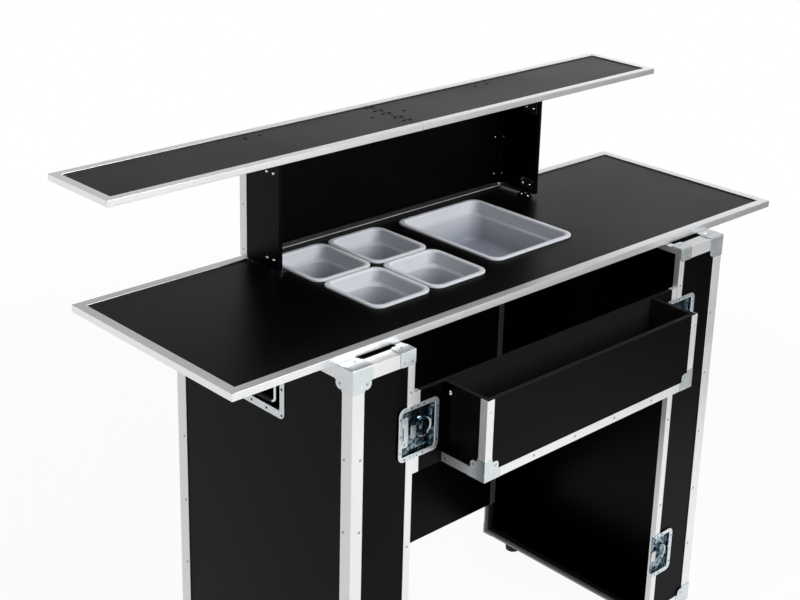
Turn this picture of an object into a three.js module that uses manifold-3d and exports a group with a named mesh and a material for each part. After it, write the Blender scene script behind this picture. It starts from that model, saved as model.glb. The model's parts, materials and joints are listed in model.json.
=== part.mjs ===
// A folding portable bar built like a flight case. Two half cases stand on edge as legs, a folding front
// panel ties them together on the customer's side, and a bridge board with a bottle trough latches between
// them on the bartender's side. The worktop with its food pans, the riser and the upper shelf lie on top.
// Millimetres, +X along the bar, +Y from the bartender to the customer, +Z up, floor at z = 0.

import * as THREE from 'three';
import { mergeVertices } from 'three/addons/utils/BufferGeometryUtils.js';
import Module from 'manifold-3d';

const wasm = await Module();
wasm.setup();

// Driving dimensions

const CLEARANCE = 0.3; // gap between pieces that touch
const BOARD = 10; // laminated plywood of the case, bridge, trough and riser
const TRIM_SKIN = 2; // thickness of the aluminium edge profiles
const BRACKET_SKIN = 1.5; // thickness of the pressed steel fittings

const FOOT_HEIGHT = 26;
const FOOT_TOP_DIAMETER = 44;
const FOOT_FLOOR_DIAMETER = 38;
const FOOT_INSET_X = 30; // foot centre from the edges of its half case
const FOOT_INSET_Y = 82;

const CASE_SPAN = 1156; // outer face to outer face of the two half cases
const CASE_HEIGHT = 992;
const CASE_DEPTH = 565; // along Y
const CASE_WIDTH = 161; // along X, one half case
const CASE_ANGLE = 30; // leg of the corner profile
const CASE_RIM = 18; // leg of the profile on the open edge

const CORNER_REACH = 50; // steel corner fitting along each edge
const CORNER_EAR_RADIUS = 12;
const CORNER_EAR_CENTRE = 35; // rivet from the two edges

const WORKTOP_LENGTH = 1650;
const WORKTOP_DEPTH = 526;
const WORKTOP_THICKNESS = 16;
const WORKTOP_TRIM = 21; // visible width of the edge profile
const CASE_SETBACK = 3; // half cases from the customer's edge of the worktop

const SHELF_RISE = 258; // shelf top above the worktop top
const SHELF_LENGTH = 1650;
const SHELF_DEPTH = 212;
const SHELF_THICKNESS = 14;
const SHELF_TRIM = 19;
const SHELF_OVERHANG = 66; // shelf past the customer's edge of the worktop
const SHELF_SEAM = 1; // gap between the two shelf halves
const SHELF_HINGE_LIFT = 0.4; // hinge line above the shelf top
const SHELF_KNUCKLE = 5;
const SHELF_LEAF_WIDTH = 20;
const SHELF_LEAF_SKIN = 1;
const SHELF_HINGE_INSET = 3; // hinge ends from the edge profiles

const RISER_SPAN = 812;
const RISER_DEPTH = 130;
const RISER_SETBACK = 7; // riser from the customer's edge of the worktop
const RISER_BACK_GAP = 1; // back panel's ends from the side panels
const RISER_FLOAT = 5.5; // riser panels above the worktop, held up by the foot brackets
const RISER_KNUCKLE = 7;
const RISER_HINGE_END = 20;
const RISER_FOOT_DEPTH = 40;
const RISER_FOOT_RISE = 44;
const RISER_FOOT_REACH = 14;
const RISER_FOOT_SKIN = 2.5;
const RISER_FOOT_INSET = 5;

const FRONT_TOP_DROP = 112; // front panel below the worktop top
const FRONT_BOTTOM = 131; // front panel above the floor
const FRONT_KNUCKLE = 6.4;
const FRONT_HINGE_INSET = 3.5; // hinge line behind the open edge of the half case

const BRIDGE_DROP = 113; // bridge and trough below the worktop top
const BRIDGE_HEIGHT = 177;
const BRIDGE_END_GAP = 0.7;
const TROUGH_LATCH_GAP = 15; // trough's ends from the bridge's wider latch half
const TROUGH_REACH = 119; // trough in front of the half cases
const TROUGH_ANGLE = 20;

const LATCH_HEIGHT = 117;
const LATCH_WIDTH = 67; // half with the turning butterfly
const KEEPER_WIDTH = 41;
const LATCH_LIP = 9; // flange round the three closed sides
const LATCH_RECESS = 9;
const LATCH_UPPER_DROP = 195; // latch centres below the worktop top
const LATCH_LOWER_DROP = 820;
const BUTTERFLY_DIAMETER = 44;
const BUTTERFLY_DISC = 3;
const BUTTERFLY_BLADE_LENGTH = 40;
const BUTTERFLY_BLADE_WIDTH = 9;

const HANDLE_DROP = 133; // handle dish centre below the worktop top
const HANDLE_WIDTH = 160;
const HANDLE_HEIGHT = 130;
const HANDLE_LIP = 16;
const HANDLE_RECESS = 15;
const BAIL_ROD = 8;
const BAIL_WIDTH = 83;
const BAIL_DROP = 80;
const BAIL_INSET = 10; // bail axis below the top of the dish

const PAN_LIP = 11; // rim outside the pan's wall
const PAN_LIP_HEIGHT = 5;
const PAN_WALL = 3;
const PAN_DEPTH = 98;
const PAN_TAPER = 9; // wall's inward slope, top to bottom
const PAN_CUT_GAP = 2;
const SMALL_PAN_X = 163;
const SMALL_PAN_Y = 178;
const SMALL_PAN_RADIUS = 22;
const SMALL_PAN_PITCH_X = 167;
const SMALL_PAN_PITCH_Y = 183;
const SMALL_PANS_X = -211; // centre of the group of four
const SMALL_PANS_Y = 33;
const LARGE_PAN_X = 265;
const LARGE_PAN_Y = 325;
const LARGE_PAN_RADIUS = 26;
const LARGE_PAN_CENTRE_X = 135;
const LARGE_PAN_CENTRE_Y = 45;

const ROUND_SIDES = 12;
const CORNER_STEPS = 4;

// Levels and planes worked out from the driving dimensions

const caseX = CASE_SPAN / 2;
const openX = caseX - CASE_WIDTH;
const customerEdge = WORKTOP_DEPTH / 2;
const caseY1 = customerEdge - CASE_SETBACK;
const caseY0 = caseY1 - CASE_DEPTH;
const caseZ0 = FOOT_HEIGHT + CLEARANCE;
const caseZ1 = caseZ0 + CASE_HEIGHT;
const worktopZ0 = caseZ1 + CLEARANCE + BRACKET_SKIN + CLEARANCE;
const worktopZ1 = worktopZ0 + WORKTOP_THICKNESS;
const skinGap = TRIM_SKIN + CLEARANCE; // laminate below the face of its edge profile
const wallGap = skinGap + BOARD; // inside face of a case wall
const rimGap = wallGap + skinGap; // inside face of the open edge's profile
const laminateZ = worktopZ1 - skinGap;
const shelfZ1 = worktopZ1 + SHELF_RISE;
const shelfZ0 = shelfZ1 - SHELF_THICKNESS;
const shelfY1 = customerEdge + SHELF_OVERHANG;
const shelfY0 = shelfY1 - SHELF_DEPTH;
const bridgeZ1 = worktopZ1 - BRIDGE_DROP;
const bridgeZ0 = bridgeZ1 - BRIDGE_HEIGHT;
const bridgeX = openX - BRIDGE_END_GAP;
const troughX = bridgeX - LATCH_WIDTH - TROUGH_LATCH_GAP;
const troughY0 = caseY0 - TROUGH_REACH;
const middleY = (troughY0 + shelfY1) / 2;
const latchUpperZ = worktopZ1 - LATCH_UPPER_DROP;
const latchLowerZ = worktopZ1 - LATCH_LOWER_DROP;
const handleZ = worktopZ1 - HANDLE_DROP;
const handleY = (caseY0 + caseY1) / 2;
const frontHingeY = caseY1 - rimGap - CLEARANCE - FRONT_KNUCKLE / 2;
const frontHingeX = openX + FRONT_HINGE_INSET;

// Materials

const laminate = new THREE.MeshStandardMaterial({ color: 0x1d1d1e, roughness: 0.42, metalness: 0 });
const aluminium = new THREE.MeshStandardMaterial({ color: 0xd9dadb, roughness: 0.35, metalness: 1 });
const steel = new THREE.MeshStandardMaterial({ color: 0xb9c4ca, roughness: 0.28, metalness: 1 });
const rubber = new THREE.MeshStandardMaterial({ color: 0x111111, roughness: 0.8, metalness: 0 });
const panPlastic = new THREE.MeshStandardMaterial({ color: 0xdfe2e6, roughness: 0.4, metalness: 0 });

// Solids: three.js geometry turned into closed bodies that can be joined and cut

function solidOf(geometry) {
  geometry.deleteAttribute('normal');
  geometry.deleteAttribute('uv');
  const merged = mergeVertices(geometry, 1e-4);
  return new wasm.Manifold(new wasm.Mesh({
    numProp: 3,
    vertProperties: new Float32Array(merged.attributes.position.array),
    triVerts: new Uint32Array(merged.index.array),
  }));
}

function block(x0, x1, y0, y1, z0, z1) {
  const box = new THREE.BoxGeometry(Math.abs(x1 - x0), y1 - y0, z1 - z0);
  return solidOf(box.translate((x0 + x1) / 2, (y0 + y1) / 2, (z0 + z1) / 2));
}

function rod(diameter, length, place) {
  const cylinder = new THREE.CylinderGeometry(diameter / 2, diameter / 2, length, ROUND_SIDES);
  return solidOf(cylinder.applyMatrix4(place));
}

function uprightRod(diameter, x, y, z0, z1) {
  const place = new THREE.Matrix4().makeTranslation(x, y, (z0 + z1) / 2);
  return rod(diameter, z1 - z0, place.multiply(new THREE.Matrix4().makeRotationX(Math.PI / 2)));
}

function joined(first, ...others) {
  return others.reduce((sum, solid) => sum.add(solid), first);
}

function cut(first, ...others) {
  return others.reduce((rest, solid) => rest.subtract(solid), first);
}

function geometryOf(solid) {
  const mesh = solid.getMesh();
  const geometry = new THREE.BufferGeometry();
  geometry.setAttribute('position', new THREE.BufferAttribute(mesh.vertProperties.slice(), 3));
  geometry.setIndex(new THREE.BufferAttribute(mesh.triVerts.slice(), 1));
  return geometry;
}

// The geometry scaled by factors of 1 and -1, with its triangles wound the other way round
function mirrored(geometry, x, y, z) {
  const other = geometry.clone().scale(x, y, z);
  const index = other.index.array;
  for (let i = 0; i < index.length; i += 3) {
    const second = index[i + 1];
    index[i + 1] = index[i + 2];
    index[i + 2] = second;
  }
  return other;
}

const bar = new THREE.Group();
bar.position.y = -middleY;

function add(name, geometry, material) {
  geometry.computeVertexNormals();
  const mesh = new THREE.Mesh(geometry, material);
  mesh.name = name;
  bar.add(mesh);
}

function addSolid(name, solid, material) {
  add(name, geometryOf(solid), material);
}

// A left-hand piece and its mirror image on the right
function addPair(name, solid, material) {
  const geometry = geometryOf(solid);
  add(`left_${name}`, geometry, material);
  add(`right_${name}`, mirrored(geometry, -1, 1, 1), material);
}

// Half cases, modelled as the left one

function caseBox(inset, openSide) {
  return block(-caseX + inset, openSide, caseY0 + inset, caseY1 - inset, caseZ0 + inset, caseZ1 - inset);
}

function caseEdges() {
  const a = CASE_ANGLE;
  const sides = [[caseY0, caseY0 + a], [caseY1 - a, caseY1]];
  const levels = [[caseZ0, caseZ0 + a], [caseZ1 - a, caseZ1]];
  const bars = [];
  for (const [y0, y1] of sides) {
    bars.push(block(-caseX, -caseX + a, y0, y1, caseZ0, caseZ1));
    for (const [z0, z1] of levels) {
      bars.push(block(-caseX, -openX, y0, y1, z0, z1));
    }
  }
  for (const [z0, z1] of levels) {
    bars.push(block(-caseX, -caseX + a, caseY0, caseY1, z0, z1));
  }
  bars.push(block(-openX - CASE_RIM, -openX, caseY0, caseY1, caseZ0, caseZ1));
  return joined(...bars);
}

// A recess for a latch half in the bartender's wall, measured from the open edge at x = edge
function latchPocket(edge, direction, width, z) {
  const tub = latchTub(width, z);
  const u0 = edge + direction * (tub.u0 - CLEARANCE);
  const u1 = edge + direction * (tub.u1 + CLEARANCE);
  const x = [u0, u1].sort((p, q) => p - q);
  const front = caseY0 - TRIM_SKIN;
  const back = caseY0 + LATCH_RECESS + CLEARANCE;
  return block(x[0], x[1], front, back, tub.z0 - CLEARANCE, tub.z1 + CLEARANCE);
}

function latchTub(width, z) {
  return {
    u0: 0,
    u1: width - LATCH_LIP,
    z0: z - LATCH_HEIGHT / 2 + LATCH_LIP,
    z1: z + LATCH_HEIGHT / 2 - LATCH_LIP,
  };
}

function handleOpening(grow) {
  const y = HANDLE_WIDTH / 2 - HANDLE_LIP + grow;
  const z = HANDLE_HEIGHT / 2 - HANDLE_LIP + grow;
  return { y0: handleY - y, y1: handleY + y, z0: handleZ - z, z1: handleZ + z };
}

function caseShell(latchWidth) {
  const outside = caseBox(skinGap, -openX - skinGap);
  const inside = caseBox(wallGap, -openX + CASE_WIDTH);
  const hole = handleOpening(BRACKET_SKIN + CLEARANCE);
  const window = block(-caseX, -caseX + wallGap + BOARD, hole.y0, hole.y1, hole.z0, hole.z1);
  const pockets = [latchUpperZ, latchLowerZ].map((z) => latchPocket(-openX, -1, latchWidth, z));
  return cut(outside, inside, window, ...pockets);
}

function caseTrim(latchWidth) {
  const outerSkin = cut(caseBox(0, -openX), caseBox(TRIM_SKIN, -openX + CASE_WIDTH));
  const angles = outerSkin.intersect(caseEdges());
  const rimBar = block(-openX - CASE_RIM, -openX, caseY0, caseY1, caseZ0, caseZ1);
  const mouth = caseBox(rimGap, -openX + CASE_WIDTH);
  const groove = cut(caseBox(TRIM_SKIN, -openX - TRIM_SKIN), caseBox(rimGap - TRIM_SKIN, openX));
  const rim = cut(rimBar, mouth, groove);
  const pockets = [latchUpperZ, latchLowerZ].map((z) => latchPocket(-openX, -1, latchWidth, z));
  return cut(joined(angles, rim), ...pockets);
}

// A three-sided pressed corner for an edge corner at the origin, opening to +X, +Y and +Z. Each face has two
// arms along the edges and a round ear for a rivet where the arms meet.
function cornerFitting() {
  const near = -CLEARANCE;
  const far = near - BRACKET_SKIN;
  const face = geometryOf(joined(
    block(far, CORNER_REACH, far, CASE_ANGLE, far, near),
    block(far, CASE_ANGLE, far, CORNER_REACH, far, near),
    uprightRod(2 * CORNER_EAR_RADIUS, CORNER_EAR_CENTRE, CORNER_EAR_CENTRE, far, near),
  ));
  const axes = [[0, 1, 0], [0, 0, 1], [1, 0, 0]].map((axis) => new THREE.Vector3(...axis));
  const nextAxis = new THREE.Matrix4().makeBasis(...axes);
  const second = face.clone().applyMatrix4(nextAxis);
  const third = second.clone().applyMatrix4(nextAxis);
  return geometryOf(joined(...[face, second, third].map(solidOf)));
}

function addCorners() {
  const fitting = cornerFitting();
  const places = [
    ['bartender_top', caseY0, 1, caseZ1, -1],
    ['bartender_bottom', caseY0, 1, caseZ0, 1],
    ['customer_top', caseY1, -1, caseZ1, -1],
    ['customer_bottom', caseY1, -1, caseZ0, 1],
  ];
  for (const [where, y, turnY, z, turnZ] of places) {
    const turned = fitting.clone().scale(1, turnY, turnZ);
    const corner = turnY * turnZ < 0 ? mirrored(turned, 1, 1, 1) : turned;
    corner.translate(-caseX, y, z);
    add(`left_${where}_corner`, corner, steel);
    add(`right_${where}_corner`, mirrored(corner, -1, 1, 1), steel);
  }
}

function foot(x, y) {
  const top = FOOT_TOP_DIAMETER / 2;
  const floor = FOOT_FLOOR_DIAMETER / 2;
  const cone = new THREE.CylinderGeometry(top, floor, FOOT_HEIGHT, ROUND_SIDES);
  return solidOf(cone.rotateX(Math.PI / 2).translate(x, y, FOOT_HEIGHT / 2));
}

function addFeet() {
  const rows = [['inner', -openX - FOOT_INSET_X], ['outer', -caseX + FOOT_INSET_X]];
  const ends = [['bartender', caseY0 + FOOT_INSET_Y], ['customer', caseY1 - FOOT_INSET_Y]];
  for (const [row, x] of rows) {
    for (const [end, y] of ends) {
      addPair(`${row}_${end}_foot`, foot(x, y), rubber);
    }
  }
}

function handleDish() {
  const face = -caseX + skinGap - CLEARANCE;
  const inner = handleOpening(0);
  const outer = handleOpening(BRACKET_SKIN);
  const back = -caseX + skinGap + HANDLE_RECESS;
  const flange = block(
    face - BRACKET_SKIN, face,
    handleY - HANDLE_WIDTH / 2, handleY + HANDLE_WIDTH / 2,
    handleZ - HANDLE_HEIGHT / 2, handleZ + HANDLE_HEIGHT / 2,
  );
  const tub = block(face - BRACKET_SKIN, back + BRACKET_SKIN, outer.y0, outer.y1, outer.z0, outer.z1);
  const hollow = block(face - BOARD, back, inner.y0, inner.y1, inner.z0, inner.z1);
  return cut(joined(flange, tub), hollow);
}

const bailX = -caseX + skinGap + HANDLE_RECESS / 2;
const bailZ = handleOpening(0).z1 - BAIL_INSET;

function handleBail() {
  const half = BAIL_WIDTH / 2;
  const reach = handleOpening(0).y1 - handleY - CLEARANCE;
  const grip = new THREE.Matrix4().makeTranslation(bailX, handleY, bailZ - BAIL_DROP);
  const legs = [-half, half].map((y) => (
    uprightRod(BAIL_ROD, bailX, handleY + y, bailZ - BAIL_DROP, bailZ)
  ));
  const pins = [-1, 1].map((side) => {
    const middle = handleY + side * (reach + half - BAIL_ROD / 2) / 2;
    const place = new THREE.Matrix4().makeTranslation(bailX, middle, bailZ);
    return rod(BAIL_ROD, reach - half + BAIL_ROD / 2, place);
  });
  return joined(rod(BAIL_ROD, BAIL_WIDTH + BAIL_ROD, grip), ...legs, ...pins);
}

// Latches on the bartender's face: a keeper or butterfly plate from an open edge at x = edge
function latchPlate(edge, direction, width, z) {
  const face = caseY0 - CLEARANCE;
  const tub = latchTub(width, z);
  const span = (u0, u1) => [edge + direction * u0, edge + direction * u1].sort((p, q) => p - q);
  const flangeX = span(0, width);
  const outerX = span(tub.u0, tub.u1);
  const innerX = span(tub.u0 - CLEARANCE, tub.u1 - BRACKET_SKIN); // open at the split, for the hook
  const half = LATCH_HEIGHT / 2;
  const back = caseY0 + LATCH_RECESS;
  const flange = block(flangeX[0], flangeX[1], face - BRACKET_SKIN, face, z - half, z + half);
  const outside = block(outerX[0], outerX[1], face - BRACKET_SKIN, back, tub.z0, tub.z1);
  const hollow = block(
    innerX[0], innerX[1],
    face - BOARD, back - BRACKET_SKIN,
    tub.z0 + BRACKET_SKIN, tub.z1 - BRACKET_SKIN,
  );
  return cut(joined(flange, outside), hollow);
}

function butterfly(edge, direction, z) {
  const tub = latchTub(LATCH_WIDTH, z);
  const x = edge + direction * (tub.u0 + tub.u1) / 2;
  const back = caseY0 + LATCH_RECESS - BRACKET_SKIN - CLEARANCE;
  const discPlace = new THREE.Matrix4().makeTranslation(x, back - BUTTERFLY_DISC / 2, z);
  const front = caseY0 - CLEARANCE - BRACKET_SKIN;
  const blade = block(
    x - BUTTERFLY_BLADE_WIDTH / 2, x + BUTTERFLY_BLADE_WIDTH / 2,
    front, back - BUTTERFLY_DISC / 2,
    z - BUTTERFLY_BLADE_LENGTH / 2, z + BUTTERFLY_BLADE_LENGTH / 2,
  );
  return joined(rod(BUTTERFLY_DIAMETER, BUTTERFLY_DISC, discPlace), blade);
}

function addHalfCases() {
  add('left_case_shell', geometryOf(caseShell(KEEPER_WIDTH)), laminate);
  add('right_case_shell', mirrored(geometryOf(caseShell(LATCH_WIDTH)), -1, 1, 1), laminate);
  add('left_case_trim', geometryOf(caseTrim(KEEPER_WIDTH)), aluminium);
  add('right_case_trim', mirrored(geometryOf(caseTrim(LATCH_WIDTH)), -1, 1, 1), aluminium);
  addCorners();
  addFeet();
  addPair('handle_dish', handleDish(), steel);
  addPair('handle_bail', handleBail(), steel);
  for (const [level, z] of [['upper', latchUpperZ], ['lower', latchLowerZ]]) {
    addSolid(`left_${level}_keeper`, latchPlate(-openX, -1, KEEPER_WIDTH, z), steel);
    addSolid(`right_${level}_latch_plate`, latchPlate(openX, 1, LATCH_WIDTH, z), steel);
    addSolid(`right_${level}_butterfly`, butterfly(openX, 1, z), steel);
  }
}

// Front panel: two halves that fold inward between the half cases, on three upright hinges

function addFrontPanel() {
  const y1 = frontHingeY - FRONT_KNUCKLE / 2 - CLEARANCE;
  const z1 = worktopZ1 - FRONT_TOP_DROP;
  const half = block(-frontHingeX + CLEARANCE, -CLEARANCE, y1 - BOARD, y1, FRONT_BOTTOM, z1);
  addPair('front_panel', half, laminate);
  addPair('front_hinge', uprightRod(FRONT_KNUCKLE, -frontHingeX, frontHingeY, FRONT_BOTTOM, z1), steel);
  addSolid('middle_front_hinge', uprightRod(FRONT_KNUCKLE, 0, frontHingeY, FRONT_BOTTOM, z1), steel);
}

// Bridge board and bottle trough on the bartender's side

function addBridge() {
  const face = caseY0 + skinGap;
  const left = latchPocket(-bridgeX, 1, LATCH_WIDTH, latchUpperZ);
  const right = latchPocket(bridgeX, -1, KEEPER_WIDTH, latchUpperZ);
  const board = block(-bridgeX, bridgeX, face, face + BOARD, bridgeZ0, bridgeZ1);
  addSolid('bridge_board', cut(board, left, right), laminate);
  addSolid('bridge_latch_plate', latchPlate(-bridgeX, 1, LATCH_WIDTH, latchUpperZ), steel);
  addSolid('bridge_butterfly', butterfly(-bridgeX, 1, latchUpperZ), steel);
  addSolid('bridge_keeper', latchPlate(bridgeX, -1, KEEPER_WIDTH, latchUpperZ), steel);

  const back = face - CLEARANCE;
  const x = troughX;
  const box = (inset, y1, z1) => (
    block(-x + inset, x - inset, troughY0 + inset, y1, bridgeZ0 + inset, z1)
  );
  const outside = box(skinGap, back, bridgeZ1);
  const inside = box(wallGap, back + BOARD, bridgeZ1 + BOARD);
  addSolid('trough', cut(outside, inside), laminate);

  const a = TROUGH_ANGLE;
  const top = bridgeZ1 - CLEARANCE;
  const skin = cut(box(0, back, top), box(TRIM_SKIN, back + BOARD, bridgeZ1 + BOARD));
  const edges = joined(
    block(-x, -x + a, troughY0, troughY0 + a, bridgeZ0, top),
    block(x - a, x, troughY0, troughY0 + a, bridgeZ0, top),
    block(-x, x, troughY0, troughY0 + a, bridgeZ0, bridgeZ0 + a),
    block(-x, -x + a, troughY0, back, bridgeZ0, bridgeZ0 + a),
    block(x - a, x, troughY0, back, bridgeZ0, bridgeZ0 + a),
  );
  addSolid('trough_trim', skin.intersect(edges), aluminium);
}

// Boards with an edge profile: the profile is a channel, and the board's edge sits in it

function edgeChannel(box, legs, openEnd) {
  const [x0, x1, y0, y1, z0, z1] = box;
  const far = openEnd ? x1 + legs : x1 - legs;
  const frame = cut(
    block(x0, x1, y0, y1, z0, z1),
    block(x0 + legs, far, y0 + legs, y1 - legs, z0 - legs, z1 + legs),
  );
  const groove = openEnd ? x1 + legs : x1 - TRIM_SKIN;
  const slot = block(
    x0 + TRIM_SKIN, groove, y0 + TRIM_SKIN, y1 - TRIM_SKIN, z0 + TRIM_SKIN, z1 - TRIM_SKIN,
  );
  return cut(frame, slot);
}

function edgedBoard(box, openEnd) {
  const [x0, x1, y0, y1, z0, z1] = box;
  const end = openEnd ? x1 : x1 - skinGap;
  return block(x0 + skinGap, end, y0 + skinGap, y1 - skinGap, z0 + skinGap, z1 - skinGap);
}

// Food pans, and the worktop with their cut-outs

const pans = [{
  name: 'large_pan', x: LARGE_PAN_CENTRE_X, y: LARGE_PAN_CENTRE_Y,
  sizeX: LARGE_PAN_X, sizeY: LARGE_PAN_Y, radius: LARGE_PAN_RADIUS,
}];
for (const [row, sideY] of [['customer', 1], ['bartender', -1]]) {
  for (const [column, sideX] of [['left', -1], ['right', 1]]) {
    pans.push({
      name: `small_pan_${row}_${column}`,
      x: SMALL_PANS_X + sideX * SMALL_PAN_PITCH_X / 2,
      y: SMALL_PANS_Y + sideY * SMALL_PAN_PITCH_Y / 2,
      sizeX: SMALL_PAN_X, sizeY: SMALL_PAN_Y, radius: SMALL_PAN_RADIUS,
    });
  }
}

function roundedRing(pan, inset, z) {
  const radius = Math.max(pan.radius - inset, pan.radius / 3);
  const halfX = pan.sizeX / 2 - inset - radius;
  const halfY = pan.sizeY / 2 - inset - radius;
  const centres = [[halfX, halfY], [-halfX, halfY], [-halfX, -halfY], [halfX, -halfY]];
  const ring = [];
  centres.forEach(([x, y], quarter) => {
    for (let step = 0; step <= CORNER_STEPS; step += 1) {
      const angle = (quarter + step / CORNER_STEPS) * Math.PI / 2;
      ring.push([pan.x + x + radius * Math.cos(angle), pan.y + y + radius * Math.sin(angle), z]);
    }
  });
  return ring;
}

// A closed surface through rings of equal length, with a flat cap on the first and the last
function ringSurface(rings) {
  const count = rings[0].length;
  const positions = rings.flat(2);
  const index = [];
  for (let r = 0; r + 1 < rings.length; r += 1) {
    for (let i = 0; i < count; i += 1) {
      const a = r * count + i;
      const b = r * count + (i + 1) % count;
      index.push(a, b, b + count, a, b + count, a + count);
    }
  }
  const last = (rings.length - 1) * count;
  for (let i = 1; i + 1 < count; i += 1) {
    index.push(0, i + 1, i);
    index.push(last, last + i, last + i + 1);
  }
  const geometry = new THREE.BufferGeometry();
  geometry.setAttribute('position', new THREE.Float32BufferAttribute(positions, 3));
  geometry.setIndex(index);
  return geometry;
}

function panGeometry(pan) {
  const seat = laminateZ + CLEARANCE;
  const top = seat + PAN_LIP_HEIGHT;
  const bottom = top - PAN_DEPTH;
  return ringSurface([
    roundedRing(pan, PAN_LIP + PAN_TAPER, bottom),
    roundedRing(pan, PAN_LIP, seat),
    roundedRing(pan, 0, seat),
    roundedRing(pan, 0, top),
    roundedRing(pan, PAN_LIP + PAN_WALL, top),
    roundedRing(pan, PAN_LIP + PAN_WALL + PAN_TAPER, bottom + PAN_WALL),
  ]);
}

function panCutout(pan) {
  const inset = PAN_LIP - PAN_CUT_GAP;
  return solidOf(ringSurface([
    roundedRing(pan, inset, worktopZ0 - BOARD),
    roundedRing(pan, inset, worktopZ1 + BOARD),
  ]));
}

function addWorktop() {
  const halfX = WORKTOP_LENGTH / 2;
  const box = [-halfX, halfX, -customerEdge, customerEdge, worktopZ0, worktopZ1];
  addSolid('worktop_board', cut(edgedBoard(box, false), ...pans.map(panCutout)), laminate);
  addSolid('worktop_trim', edgeChannel(box, WORKTOP_TRIM, false), aluminium);
  for (const pan of pans) {
    add(pan.name, panGeometry(pan), panPlastic);
  }
}

// Riser: a back panel and two side panels that fold in against it

function addRiser() {
  const outerX = RISER_SPAN / 2;
  const innerX = outerX - BOARD;
  const y1 = customerEdge - RISER_SETBACK;
  const y0 = y1 - RISER_DEPTH;
  const z0 = worktopZ1 + RISER_FLOAT;
  const z1 = shelfZ0 - CLEARANCE;
  const radius = RISER_KNUCKLE / 2;
  const inside = y1 - BOARD;
  const backX = innerX - RISER_BACK_GAP;
  addSolid('riser_back', block(-backX, backX, inside, y1, z0, z1), laminate);
  addPair('riser_side', block(-outerX, -innerX, y0, y1, z0, z1), laminate);

  const hingeX = innerX - CLEARANCE - radius;
  const hingeY = inside - CLEARANCE - radius;
  const ends = [z0 + RISER_HINGE_END, z1 - RISER_HINGE_END];
  addPair('riser_hinge', uprightRod(RISER_KNUCKLE, -hingeX, hingeY, ends[0], ends[1]), steel);

  const plateX = -innerX + CLEARANCE;
  const seat = laminateZ + CLEARANCE;
  const footY = [y0 + RISER_FOOT_INSET, y0 + RISER_FOOT_INSET + RISER_FOOT_DEPTH];
  const plate = block(plateX, plateX + RISER_FOOT_SKIN, footY[0], footY[1], seat, seat + RISER_FOOT_RISE);
  const toe = block(plateX, plateX + RISER_FOOT_REACH, footY[0], footY[1], seat, seat + RISER_FOOT_SKIN);
  addPair('riser_foot_bracket', joined(plate, toe), steel);
}

// Upper shelf: two halves that fold up about a hinge along their seam

function addShelf() {
  const halfX = SHELF_LENGTH / 2;
  const seam = SHELF_SEAM / 2;
  const box = [-halfX, -seam, shelfY0, shelfY1, shelfZ0, shelfZ1];
  const hingeZ = shelfZ1 + SHELF_HINGE_LIFT;
  const radius = SHELF_KNUCKLE / 2;
  const y0 = shelfY0 + SHELF_TRIM + SHELF_HINGE_INSET;
  const y1 = shelfY1 - SHELF_TRIM - SHELF_HINGE_INSET;
  const room = radius + 2 * CLEARANCE;
  const groove = block(-room, room, y0 - CLEARANCE, y1 + CLEARANCE, hingeZ - room, hingeZ + room);
  addPair('shelf_board', cut(edgedBoard(box, true), groove), laminate);
  addPair('shelf_trim', edgeChannel(box, SHELF_TRIM, true), aluminium);

  const leafZ = shelfZ1 - skinGap + CLEARANCE;
  const place = new THREE.Matrix4().makeTranslation(0, (y0 + y1) / 2, hingeZ);
  const leaf = block(-radius - SHELF_LEAF_WIDTH, -radius / 2, y0, y1, leafZ, leafZ + SHELF_LEAF_SKIN);
  addSolid('shelf_hinge', joined(rod(SHELF_KNUCKLE, y1 - y0, place), leaf), steel);
}

addHalfCases();
addFrontPanel();
addBridge();
addWorktop();
addRiser();
addShelf();

export default bar;
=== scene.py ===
# %% [markdown]
# # A folding portable bar
# The bar travels as a flight case. Two half cases stand on edge as legs, a worktop with white pans lies
# across them, and a riser carries a narrow upper shelf. It could all be modelled again here, but the packed
# model already gives every board and its place, and the two have to agree. So this lesson loads it first
# and then dresses it: finishes, fittings, rivets, latches and moulded pans.

# %% Load the frame
import json
import math

import bmesh
import bpy
from mathutils import Matrix, Vector


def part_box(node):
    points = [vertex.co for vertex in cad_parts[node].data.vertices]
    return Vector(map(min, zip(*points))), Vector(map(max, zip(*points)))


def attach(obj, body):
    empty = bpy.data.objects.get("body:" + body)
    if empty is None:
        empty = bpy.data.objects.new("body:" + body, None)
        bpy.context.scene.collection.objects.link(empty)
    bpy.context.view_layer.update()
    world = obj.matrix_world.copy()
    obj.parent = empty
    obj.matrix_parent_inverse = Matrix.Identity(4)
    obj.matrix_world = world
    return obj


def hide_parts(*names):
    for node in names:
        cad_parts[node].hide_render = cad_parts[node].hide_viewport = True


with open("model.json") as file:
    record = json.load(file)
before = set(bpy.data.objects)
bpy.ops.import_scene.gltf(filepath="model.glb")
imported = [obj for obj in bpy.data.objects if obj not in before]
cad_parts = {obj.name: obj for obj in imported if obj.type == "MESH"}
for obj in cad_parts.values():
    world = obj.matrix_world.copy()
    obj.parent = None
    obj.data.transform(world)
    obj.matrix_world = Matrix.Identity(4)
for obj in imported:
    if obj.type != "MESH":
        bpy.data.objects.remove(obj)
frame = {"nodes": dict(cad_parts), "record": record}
scene = bpy.context.scene
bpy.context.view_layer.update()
body_of_node = {
    node: body
    for body, nodes in frame["record"]["behaviour"]["bodies"].items()
    for node in nodes
}
MM = 0.001
SIDES = ((-1, "left"), (1, "right"))


def mm(*lengths):
    """Lengths in millimetres, as metres."""
    return tuple(length * MM for length in lengths)


# %% [markdown]
# The camera stands where the photographer stood, in front of the bartender's left end and a little above
# the shelf. It could be moved about by eye, but fitting known corners of the bar to the picture gives its
# place and its lens at once. A lens shift keeps the uprights nearly parallel, which turning the camera
# down would not.

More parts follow.
